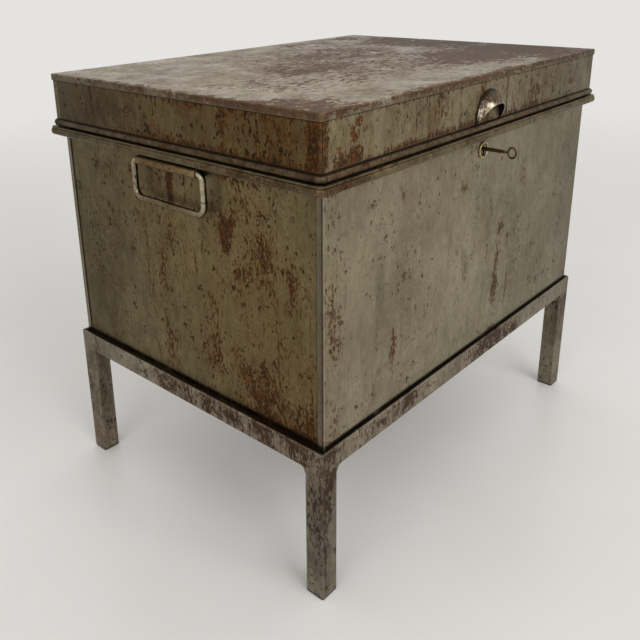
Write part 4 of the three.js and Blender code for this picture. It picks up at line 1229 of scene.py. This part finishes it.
# The round hole and the slot for the key, as a solid that runs past both faces.
def keyholeCutter(yFront, yBack, look):
    radius, half = look["radius"], look["slotHalf"]
    start = math.asin(half / radius)
    turns = spaced(start - math.pi / 2, 2 * math.pi - 2 * start, look["arcSteps"])
    ring = [(radius * math.cos(turn), keyAxis + radius * math.sin(turn)) for turn in turns]
    ring += [(-half, keyAxis - look["drop"]), (half, keyAxis - look["drop"])]
    ends = (yFront - look["overrun"], yBack + look["overrun"])
    cutter = ringStack("keyhole", [[Vector((x, y, z)) for x, z in ring] for y in ends])
    closeUp(cutter)
    return cutter


def makeBody(look):
    for name, facing in (("front", -1), ("back", 1)):
        node = f"body_{name}_panel"
        low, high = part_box(node)
        path = roundedPath(lappedCorners(low, high, look["lap"], facing), look["bendRadius"], look["step"])
        dent = sheetDent(low, high, look["dents"], look["flatRoundKey"] if facing < 0 else 0.0)
        panel = sheetPiece(f"{name}_panel", path, levelsBetween(low.z, high.z, look["step"]), dent)
        if facing < 0:
            cutAway(panel, keyholeCutter(low.y, low.y, keyholeSettings))
        finishPiece(panel, "trunk", "frontSheet", [node])
    for name in ("left", "right"):
        node = f"body_{name}_end"
        low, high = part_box(node)
        ends = [(low.x, high.y), (low.x, low.y)] if name == "left" else [(high.x, low.y), (high.x, high.y)]
        panel = sheetPiece(f"{name}_end", roundedPath(ends, 0, look["step"]),
                           levelsBetween(low.z, high.z, look["step"]), sheetDent(low, high, look["dents"]))
        finishPiece(panel, "trunk", "endSheetShaded", [node])
    tray = easedCopy("bottom_tray", "body_bottom", look["trayEase"], look["trayStep"])
    finishPiece(tray, "trunk", "innerSteel", ["body_bottom"])


makeBody(bodySettings)
print("body made")


# The rim bead and the lid bead
beadSettings = {
    "rimNose": 4 * mm,
    "rimNoseSteps": 7,
    "rimUnderShare": 0.8,
    "rimRiseShare": 0.75,
    "rimDepth": 4.6 * mm,
    "rimLip": 1.3 * mm,
    "rimLipBack": 1.3 * mm,
    "rimGroove": 0.45 * mm,
    "rimCornerRadius": 8.4 * mm,
    "rimGap": 0.4 * mm,
    "lidSides": 24,
    "lidCornerRadius": 5 * mm,
    "knobReach": 3.2,
    "knobNeck": 4.0,
    "knobNeckShare": 0.2,
    "cornerSteps": 8,
    "step": 20 * mm,
    "bore": 2.4 * mm,
    "barEase": 0.3 * mm,
}
noLimit = 10.0  # metres, past every piece


# The rim's section about its middle height: a round nose over a thin rolled lip.
def rimSection(height, look):
    half, nose, lip, groove = height / 2, look["rimNose"], look["rimLip"], look["rimGroove"]
    depth, back, steps = look["rimDepth"], look["rimLipBack"], look["rimNoseSteps"]
    points = [(-depth, half)]
    for turn in spaced(math.pi / 2, -math.pi / 2, steps):
        points.append((nose * (math.cos(turn) - 1), half - nose + nose * math.sin(turn)))
    under = math.pi / 2 * look["rimUnderShare"]
    rise = look["rimRiseShare"] * nose
    lower = half - lip - 2 * groove
    for turn in spaced(0.0, under, steps):
        fall = rise - rise * math.sin(turn) / math.sin(under)
        points.append(((nose - back) * (math.cos(turn) - 1), fall - lower))
    points += [(-back - groove, -half + lip + groove), (-back - groove, -half + lip),
               (-back, -half + 0.75 * lip), (-back, -half + 0.3 * lip), (-back - 0.3 * lip, -half),
               (-depth, -half)]
    return pathCarrier([Vector((u, z, 0)) for u, z in points], True)


def makeRimBead(look):
    rimLow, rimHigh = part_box("body_bead_left")[0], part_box("body_bead_right")[1]
    frontLow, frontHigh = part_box("body_bead_front")
    z = (rimLow.z + rimHigh.z) / 2
    y0, y1 = frontLow.y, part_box("body_bead_back")[1].y
    tip = frontHigh.x + look["rimGap"]
    wallX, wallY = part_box("body_right_end")[1].x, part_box("body_back_panel")[1].y - middleY
    section = rimSection(rimHigh.z - rimLow.z, look)
    for name in ("front", "back", "left", "right"):
        low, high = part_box("body_bead_" + name)
        if name == "front":
            corners = [(low.x, y0), (high.x, y0)]
        elif name == "back":
            corners = [(high.x, y1), (low.x, y1)]
        elif name == "left":
            corners = [(-tip, y1), (low.x, y1), (low.x, y0), (-tip, y0)]
        else:
            corners = [(tip, y0), (high.x, y0), (high.x, y1), (tip, y1)]
        path = roundedPath(corners, look["rimCornerRadius"], look["step"], look["cornerSteps"])
        wall = Vector((wallX if name in ("left", "right") else noLimit, wallY, noLimit))
        bead = grow("rim_bead_" + name, rimTree, pathCarrier(atHeight(path, z)), "beads", {
            "Section": section, "Section Depth": look["rimDepth"], "Wall": wall,
            "Middle": Vector((0, middleY, 0))})
        finishPiece(bead, "trunk", "beads", ["body_bead_" + name])
    bpy.data.objects.remove(section)


# A length of the back bead, bored for the hinge wire.
def boredBar(name, x0, x1, y, z, radius, look):
    ease, bore = look["barEase"], look["bore"]
    stations = [(x0, radius - ease), (x0 + ease, radius), (x1 - ease, radius), (x1, radius - ease),
                (x1, bore), (x0, bore)]
    turns = circleTurns(look["lidSides"])
    rings = []
    for x, r in stations:
        rings.append([Vector((x, y + r * math.cos(turn), z + r * math.sin(turn))) for turn in turns])
    return ringStack(name, rings, True)


def makeLidBead(look):
    low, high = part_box("lid_bead_front")
    radius, sides = (high.z - low.z) / 2, look["lidSides"]
    z = middleOf("lid_bead_front", 2)
    yFront, yBack = middleOf("lid_bead_front", 1), middleOf("lid_bead_back_middle", 1)
    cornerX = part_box("lid_bead_right")[1].x - radius
    bulge = look["lidCornerRadius"] * (1 - math.sqrt(0.5))
    knobX = cornerX - bulge
    knobs = [Vector((x, y)) for x in (-knobX, knobX) for y in (yFront + bulge, yBack - bulge)]

    # The bead draws in on both sides of a knob at the corners
    def girth(p):
        away = min((knob - p.xy).length for knob in knobs) / mm
        if away < look["knobReach"]:
            return 1.0
        return 1.0 - look["knobNeckShare"] * max(0.0, 1 - (away - look["knobReach"]) / look["knobNeck"])

    def grimeAndShade(p):
        width = girth(p)
        atCorner = abs(p.x) > cornerX - radius and abs(p.y - middleY) > (yBack - yFront) / 2 - 2 * radius
        if width == 1.0 and not atCorner:
            return 0.0
        return 0.75 * max(0.0, 1.25 - (1 - width) / look["knobNeckShare"])

    path = roundedPath([(low.x, yFront), (high.x, yFront)], 0, look["step"])
    bead = makeWire("lid_bead_front", atHeight(path, z), radius, sides, "beads")
    finishPiece(bead, "lid", "beads", ["lid_bead_front"])
    for name in ("left", "right"):
        node = "lid_bead_" + name
        low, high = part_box(node)
        x, end = (low.x + radius, high.x) if name == "left" else (high.x - radius, low.x)
        corners = [(end, yBack), (x, yBack), (x, yFront), (end, yFront)]
        path = roundedPath(corners, look["lidCornerRadius"], look["step"], look["cornerSteps"])
        bead = makeWire(node, atHeight(path, z), radius, sides, "beads", False, girth)
        finishPiece(bead, "lid", "beads", [node], grimeAndShade=grimeAndShade)
    for name in ("left", "middle", "right"):
        node = "lid_bead_back_" + name
        low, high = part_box(node)
        bar = boredBar("back_bead_" + name, low.x, high.x, yBack, z, radius, look)
        finishPiece(bar, "lid", "beads", [node])


makeRimBead(beadSettings)
makeLidBead(beadSettings)
print("beads made")


# Lid: a top sheet turned down over four walls
lidSettings = {
    "cornerRadius": 2.4 * mm,
    "arcSteps": 6,
    "edgeRadius": 1.5 * mm,
    "edgeSteps": 5,
    "hemEase": 0.25 * mm,
    "innerEase": 0.6 * mm,
    "flatRim": 1.5 * mm,
    "lap": 10 * mm,
    "step": 9 * mm,
    "dents": {**wallDents, "depth": 0.5 * mm, "scale": 4.5, "fade": 60 * mm},
    "topDents": {**wallDents, "depth": 0.5 * mm, "scale": 4.5, "fade": 60 * mm, "margin": 4 * mm,
    "mean": 0.6,
                 "seed": (5.3, 2.2, 0.4)},
    "bandGrime": 0.3,
}


def makeLidTop(look):
    low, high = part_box("lid_top")
    halfX, halfY = (high.x - low.x) / 2, (high.y - low.y) / 2
    edge, inner, hem = look["edgeRadius"], look["innerEase"], look["hemEase"]
    levels = [(high.z - sheet, sheet + inner), (high.z - sheet - inner, sheet), (low.z, sheet), (low.z, hem),
              (low.z + hem, 0.0)]
    for turn in spaced(0.0, math.pi / 2, look["edgeSteps"]):
        levels.append((high.z - edge + edge * math.sin(turn), edge * (1 - math.cos(turn))))
    levels.append((high.z, edge + look["flatRim"]))
    rings = [roundedRectangle((0.0, middleY), halfX, halfY, look["cornerRadius"], look["arcSteps"], z, inset)
             for z, inset in levels]
    top = ringStack("lid_sheet", rings)
    with openMesh(top.data) as bm:
        bmesh.ops.recalc_face_normals(bm, faces=bm.faces)
        sliceIntoCells(bm, look["step"])
        for v in bm.verts:
            if v.co.z > high.z - 2 * sheet:
                inFromEdge = min(halfX - abs(v.co.x), halfY - abs(v.co.y - middleY))
                v.co.z -= hollowAt(v.co, inFromEdge, look["topDents"])

    def grimeAndShade(p):
        return look["bandGrime"] if p.z < high.z - 0.9 * edge else 0.0

    finishPiece(top, "lid", "lidTop", ["lid_top"], grimeAndShade=grimeAndShade)


def makeLidWalls(look):
    backLow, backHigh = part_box("lid_back_wall")
    low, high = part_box("lid_front_wall")
    levels = levelsBetween(low.z, high.z, look["step"])
    walls = {
        "front": ([(low.x, low.y), (high.x, low.y)], 0, "lidFront"),
        "back": (lappedCorners(backLow, backHigh, look["lap"], 1), look["cornerRadius"], "lidFront"),
    }
    for name in ("left", "right"):
        low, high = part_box(f"lid_{name}_wall")
        if name == "left":
            corners = [(low.x, high.y), (low.x, low.y), (high.x, low.y)]
        else:
            corners = [(low.x, low.y), (high.x, low.y), (high.x, high.y)]
        walls[name] = (corners, look["cornerRadius"] - 0.01 * mm, "lidEndShaded")
    for name, (corners, radius, finish) in walls.items():
        node = f"lid_{name}_wall"
        path = roundedPath(corners, radius, look["step"])
        wall = sheetPiece("lid_" + name, path, levels, sheetDent(*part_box(node), look["dents"]))
        finishPiece(wall, "lid", finish, [node])


makeLidTop(lidSettings)
makeLidWalls(lidSettings)
print("lid made")


# Cup pull: half a hollow shell with a thin flange round its arch
pullSettings = {
    "flange": 3 * mm,
    "flangeThickness": 0.9 * mm,
    "flangeEase": 0.4 * mm,
    "flangeEdgeShare": 0.6,
    "rootFillet": 0.9 * mm,
    "rootEase": 0.25 * mm,
    "rootTurn": 0.02,
    "rootShare": 0.8,
    "wall": 2 * mm,
    "reach": 20 * mm,
    "archSteps": 64,
    "shellSteps": 18,
    "lipSlope": 1.7,
    "lipDrop": 5 * mm,
    "middleRise": 2.4 * mm,
}


def makeCupPull(look):
    low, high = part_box("cup_pull")
    middle = Vector((0, high.y, low.z + look["middleRise"]))
    flange, thick, wall, steps = look["flange"], look["flangeThickness"], look["wall"], look["shellSteps"]
    outer = ((high.x - low.x) / 2 - flange, look["reach"], high.z - middle.z - flange)
    inner = tuple(size - wall for size in outer)

    def shellPoint(u, v, a, b, c):
        return Vector((a * math.cos(u) * math.cos(v), -b * math.sin(v), c * math.sin(u) * math.cos(v)))

    # How far round the shell its lip lies, on a plane that slopes down and forward
    def lipAngle(u, b, c):
        rise, slope = c * math.sin(u), look["lipSlope"] * b
        drop = -look["lipDrop"] / math.hypot(rise, slope)
        return math.acos(max(-1, min(1, drop))) - math.atan2(slope, rise)

    start = -math.asin(min(1, look["middleRise"] / outer[2]))
    rings = []
    for u in spaced(start, math.pi - 2 * start, look["archSteps"]):
        inLip, outLip = lipAngle(u, *inner[1:]), lipAngle(u, *outer[1:])
        ring = [shellPoint(u, inLip * (1 - j / steps), *inner) for j in range(steps + 1)]
        rim = Vector(((outer[0] + flange) * math.cos(u), 0, (outer[2] + flange) * math.sin(u)))
        out = Vector((math.cos(u), 0, math.sin(u)))
        ring += [rim, rim - Vector((0, look["flangeEdgeShare"] * thick, 0))]
        ring.append(rim - Vector((0, thick, 0)) - out * look["flangeEase"])
        first = min(math.asin(thick / look["reach"]) + look["rootTurn"], outLip * look["rootShare"])
        root = shellPoint(u, first, *outer)
        ring.append(Vector((root.x, -thick, root.z)) + out * look["rootFillet"])
        ring.append(Vector((root.x, -thick - look["rootEase"], root.z)) + out * look["rootEase"])
        ring += [shellPoint(u, turn, *outer) for turn in spaced(first, outLip - first, steps)[1:]]
        rings.append([p + middle for p in ring])
    shell = ringStack("cup_pull_shell", rings)
    with openMesh(shell.data) as bm:
        for v in bm.verts:
            v.co.z = max(v.co.z, low.z)

    # A darker flange, and painted shade over the hollow inside
    def grimeAndShade(p):
        x, depth, z = p.x, high.y - p.y, p.z - middle.z
        inside = (x / inner[0]) ** 2 + (depth / inner[1]) ** 2 + (z / inner[2]) ** 2
        return 1.0 if depth < 1.5 * thick or inside < 1.02 else 0.0

    finishPiece(shell, "lid", "brightSteel", ["cup_pull"], 50, grimeAndShade)


makeCupPull(pullSettings)
print("cup pull made")


# Handles: a wire bail that hangs from a folded clip, at each end
handleSettings = {
    "wireSides": 22,
    "wireStep": 8 * mm,
    "arcSteps": 9,
    "lowCorner": 12 * mm,
    "shoulder": 8 * mm,
    "bow": 0.5 * mm,
    "bowScale": 30,
    "bowRest": 0.3 * mm,
    "straightTop": 6 * mm,
    "clipSheet": 1.2 * mm,
    "clipArcSteps": 14,
    "clipStep": 8 * mm,
    "lowBarGrime": 0.12,
}


def makeBail(name, side, look):
    node = "handle_bail_" + name
    low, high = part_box(node)
    radius, x = (high.x - low.x) / 2, middleOf(node, 0)
    y0, y1, z0, z1 = low.y + radius, high.y - radius, low.z + radius, high.z - radius
    corners = [(y0, z0), (y1, z0), (y1, z1), (y0, z1)]
    radii = [look["lowCorner"], look["lowCorner"], look["shoulder"], look["shoulder"]]
    places = []
    for p, out in roundedPath(corners, radii, look["wireStep"], look["arcSteps"], True):
        wave = noise.noise(Vector((p.x * look["bowScale"], p.y * look["bowScale"], side * 2.0)))
        bow = min(0.0, look["bow"] * wave - look["bowRest"]) if p.y < z1 - look["straightTop"] else 0.0
        places.append(Vector((x, p.x, p.y)) + Vector((0, out.x, out.y)) * bow)
    bail = makeWire("bail_" + name, places, radius, look["wireSides"], "bail", True)

    # Painted shade on the side that faces the trunk, and the low bar a little darker all round
    def grimeAndShade(p):
        facing = side * (p.x - x) / radius
        least = look["lowBarGrime"] if p.z < low.z + 3 * radius else 0.0
        return clamp(1.15 - 1.35 * facing) * (1 - least) + least

    finishPiece(bail, name + "_handle", "bail", [node], grimeAndShade=grimeAndShade)


# A clip is a strip folded round the bail's top bar, with both its legs on the wall.
def makeClip(name, side, look):
    node = "handle_clip_" + name
    low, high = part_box(node)
    pivot = middleOf(node, 2)
    outer = (high.z - low.z) / 2
    wallX, noseX = (high.x, low.x) if side < 0 else (low.x, high.x)
    centreX = noseX - side * outer
    arcs = []
    for r in (outer, outer - look["clipSheet"]):
        arc = [(centreX + side * r * math.cos(turn), pivot + r * math.sin(turn))
               for turn in spaced(math.pi / 2, -math.pi, look["clipArcSteps"])]
        arcs.append([(wallX, pivot + r)] + arc + [(wallX, pivot - r)])
    section = arcs[0] + arcs[1][::-1]
    stations = spaced(low.y, high.y - low.y, max(2, round((high.y - low.y) / look["clipStep"])))
    clip = foldedStack("clip_" + name, [[Vector((x, y, z)) for x, z in section] for y in stations])
    finishPiece(clip, "trunk", "clip", [node])


for name, side in (("left", -1), ("right", 1)):
    makeBail(name, side, handleSettings)
    makeClip(name, side, handleSettings)
print("handles made")


# Escutcheon and key
escutcheonSettings = {
    "rim": 2.1 * mm,
    "rimSteps": 12,
    "edge": 0.2 * mm,
    "floorShare": 0.45,
    "steps": 64,
    "mergeGap": 0.03 * mm,
    "grimeEdge": 0.2 * mm,
}
keySettings = {
    "shankRadius": 2.25 * mm,
    "shankSteps": 28,
    "shankEase": 0.5 * mm,
    "shankPlain": 8 * mm,
    "rings": (
        (0.72, 7.6), (0.72, 7.1), (1.0, 6.7), (1.0, 5.6), (0.68, 5.2), (0.68, 4.6), (0.95, 4.0), (0.95, 2.8),
        (0.6, 1.6), (0.55, -1.0)),
    "bowDepth": 12.5 * mm,
    "bowWire": 1.3 * mm,
    "bowSides": 16,
    "bowSteps": 40,
    "bitHalf": 1.4 * mm,
    "bitReach": 8.5 * mm,
    "bitLength": 3.5 * mm,
    "bitTip": 0.3 * mm,
    "wardFrom": 1.1 * mm,
    "wardTo": 1.9 * mm,
    "wardShare": 0.55,
}


def makeEscutcheon(look):
    low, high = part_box("escutcheon")
    radius, thick = (high.x - low.x) / 2, high.y - low.y
    rim, edge, ground = look["rim"], look["edge"], look["floorShare"] * thick
    inner = radius - rim
    profile = [(poleRadius, 0.0), (radius - edge, 0.0), (radius, edge), (radius, ground)]
    for turn in spaced(0.0, math.pi, look["rimSteps"])[1:-1]:
        profile.append((inner + rim / 2 * (1 + math.cos(turn)), ground + (thick - ground) * math.sin(turn)))
    profile += [(inner, ground), (poleRadius, ground)]
    centreZ = middleOf("escutcheon", 2)
    plate = lathe("escutcheon_plate", profile, Vector((0, high.y, centreZ)), look["steps"])
    closeUp(plate, look["mergeGap"])
    cutAway(plate, keyholeCutter(low.y, high.y, keyholeSettings))

    # The sunken middle round the keyhole is darker
    def grimeAndShade(p):
        return 1.0 if math.hypot(p.x, p.z - centreZ) < inner + look["grimeEdge"] else 0.0

    finishPiece(plate, "trunk", "brass", ["escutcheon"], 40, grimeAndShade)


def makeKey(look):
    low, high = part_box("key")
    r, wire, depth = look["shankRadius"], look["bowWire"], look["bowDepth"]
    length = high.y - (low.y + depth)
    profile = [(poleRadius, 0.0), (r * 0.8, 0.0), (r, look["shankEase"]), (r, length - look["shankPlain"])]
    profile += [(r * share, length - back * mm) for share, back in look["rings"]]
    profile.append((poleRadius, profile[-1][1]))
    shank = lathe("key_shank", profile, Vector((0, high.y, keyAxis)), look["shankSteps"])

    bowCentre = low.y + depth / 2
    halfY, halfZ = depth / 2 - wire, high.z - keyAxis - wire
    places = [Vector((0, bowCentre + halfY * math.cos(turn), keyAxis + halfZ * math.sin(turn)))
              for turn in circleTurns(look["bowSteps"])]
    bow = makeWire("key_bow", places, wire, look["bowSides"], "darkBrass", True)

    back = high.y - look["bitTip"]
    front = back - look["bitLength"]
    wardFront, wardBack = front + look["wardFrom"], front + look["wardTo"]
    bottom, ward = keyAxis - look["bitReach"], keyAxis - look["wardShare"] * look["bitReach"]
    outline = [(front, keyAxis), (front, bottom), (wardFront, bottom), (wardFront, ward), (wardBack, ward),
               (wardBack, bottom), (back, bottom), (back, keyAxis)]
    sides = (-look["bitHalf"], look["bitHalf"])
    bit = ringStack("key_bit", [[Vector((x, y, z)) for y, z in outline] for x in sides])
    finishPiece(joinObjects([shank, bow, bit], "key_whole"), "key", "darkBrass", ["key"], 35)


makeEscutcheon(escutcheonSettings)
makeKey(keySettings)
print("escutcheon and key made")


# Hinge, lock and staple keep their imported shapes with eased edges: each has its body, finish and ease
fittings = {
    "hinge_strap_1": ("trunk", "innerSteel", 0.2 * mm),
    "hinge_strap_2": ("trunk", "innerSteel", 0.2 * mm),
    "lock_plate": ("trunk", "innerSteel", 0.25 * mm),
    "lock_case": ("trunk", "innerSteel", 0.25 * mm),
    "lock_bolt": ("bolt", "brass", 0.3 * mm),
    "lock_cam": ("cam", "brass", 0.2 * mm),
    "lock_staple": ("lid", "innerSteel", 0.3 * mm),
}
hingeWireSettings = {"step": 40 * mm, "sides": 18}
# Each group of rivets: its nodes, its body, and the side that its heads are on
rivetSettings = {
    "headRadius": 2.8 * mm,
    "headHeight": 1.2 * mm,
    "shankRadius": 1.5 * mm,
    "groups": {
        "hinge_rivets": ([f"hinge_rivet_{i}" for i in range(1, 5)], "trunk", -1),
        "lock_rivets": ([f"lock_rivet_{i}" for i in range(1, 5)], "trunk", 1),
        "staple_rivets": ([f"staple_rivet_{i}" for i in range(1, 3)], "lid", 1),
    },
}


def makeHingeWire(look):
    node = "lid_hinge_wire"
    low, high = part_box(node)
    y = middleOf(node, 1)
    path = roundedPath([(low.x, y), (high.x, y)], 0, look["step"])
    places = atHeight(path, middleOf(node, 2))
    wire = makeWire("hinge_wire", places, (high.z - low.z) / 2, look["sides"], "brightSteel")
    finishPiece(wire, "lid", "brightSteel", [node])


def makeRivets(look):
    height = look["headHeight"]
    for name, (nodes, body, side) in look["groups"].items():
        places = []
        for node in nodes:
            low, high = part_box(node)
            face = high.y - height if side > 0 else low.y + height
            places.append(Vector((middleOf(node, 0), face, middleOf(node, 2))))
        rivets = grow(name, rivetTree, meshObject("places", places, []), "innerSteel", {
            "Head Radius": look["headRadius"], "Head Height": height, "Shank Radius": look["shankRadius"],
            "Shank Length": high.y - low.y - height, "Head Side": float(side)})
        finishPiece(rivets, body, "innerSteel", nodes)


for node, (body, finish, ease) in fittings.items():
    finishPiece(easedCopy(node + "_eased", node, ease), body, finish, [node])
makeHingeWire(hingeWireSettings)
makeRivets(rivetSettings)
print("fittings made")


# Floor, light and air
stageSettings = {
    "floorMiddle": 0.6,
    "floorRadius": 9.0,
    "floorSteps": 96,
    "fadeFrom": 1.1,
    "fadeTo": 3.2,
    "floorColour": (0.81, 0.805, 0.785),
    "floorShade": 0.97,
    "floorGloss": (0.28, 0.4),
    "airColour": (0.78, 0.77, 0.75),
    "airLight": 0.80,
    "lamps": {
        "window": {"place": (2.3, 2.1, 2.3), "aim": (0, 0, 0.45), "size": 3.2, "power": 9},
        "front": {"place": (-0.4, -2.9, 2.0), "aim": (0, 0, 0.3), "size": 2.4, "power": 54},
        "left": {"place": (-2.6, -0.6, 1.8), "aim": (0, 0, 0.3), "size": 1.6, "power": 16},
    },
}


def makeFloor(look):
    turns = circleTurns(look["floorSteps"])
    points = [Vector((r * math.cos(turn), r * math.sin(turn), 0))
              for r in (look["floorMiddle"], look["floorRadius"]) for turn in turns]
    floor = meshObject("floor", points, ringFaces(2, len(turns)) + [tuple(range(len(turns)))])
    material, shader, place = newFinish("floor")
    tree = place.tree
    cloud = ramp(noiseField(place, 3.0, 4.0, 0.6), 0.3, 0.7)
    colour = look["floorColour"]
    feed(tree, shader, {
        "Base Color": mixColour(cloud, tuple(c * look["floorShade"] for c in colour), colour),
        "Roughness": ramp(cloud, 0.0, 1.0, *look["floorGloss"])})
    far = addNode(tree, "ShaderNodeVectorMath", {0: place}, operation="LENGTH").outputs["Value"]
    fade = ramp(Field(tree, far), look["fadeFrom"], look["fadeTo"])
    glow = addNode(tree, "ShaderNodeEmission", {"Color": (*look["airColour"], 1.0), "Strength": 1.0})
    mix = addNode(tree, "ShaderNodeMixShader", {0: fade, 1: shader, 2: glow})
    feed(tree, tree.nodes["Material Output"], {"Surface": mix})
    floor.data.materials.append(material)


def makeAir(look):
    world = bpy.data.worlds.new("air")
    bpy.context.scene.world = world
    world.use_nodes = True
    tree = world.node_tree
    rays = addNode(tree, "ShaderNodeLightPath").outputs
    seen = largest(Field(tree, rays["Is Camera Ray"]), rays["Is Glossy Ray"])
    seen = largest(seen, rays["Is Transmission Ray"])
    feed(tree, tree.nodes["Background"], {
        "Color": (*look["airColour"], 1.0), "Strength": mixValue(seen, look["airLight"], 1.0)})


def makeLamp(name, look):
    data = bpy.data.lights.new(name, "AREA")
    data.shape = "SQUARE"
    data.size = look["size"]
    data.energy = look["power"]
    light = bpy.data.objects.new(name, data)
    light.location = look["place"]
    aim = Vector(look["aim"]) - Vector(look["place"])
    light.rotation_euler = aim.to_track_quat("-Z", "Y").to_euler()
    bpy.context.scene.collection.objects.link(light)


makeFloor(stageSettings)
makeAir(stageSettings)
for name, lamp in stageSettings["lamps"].items():
    makeLamp(name, lamp)
bpy.context.scene.view_settings.view_transform = "Standard"
print("stage made")
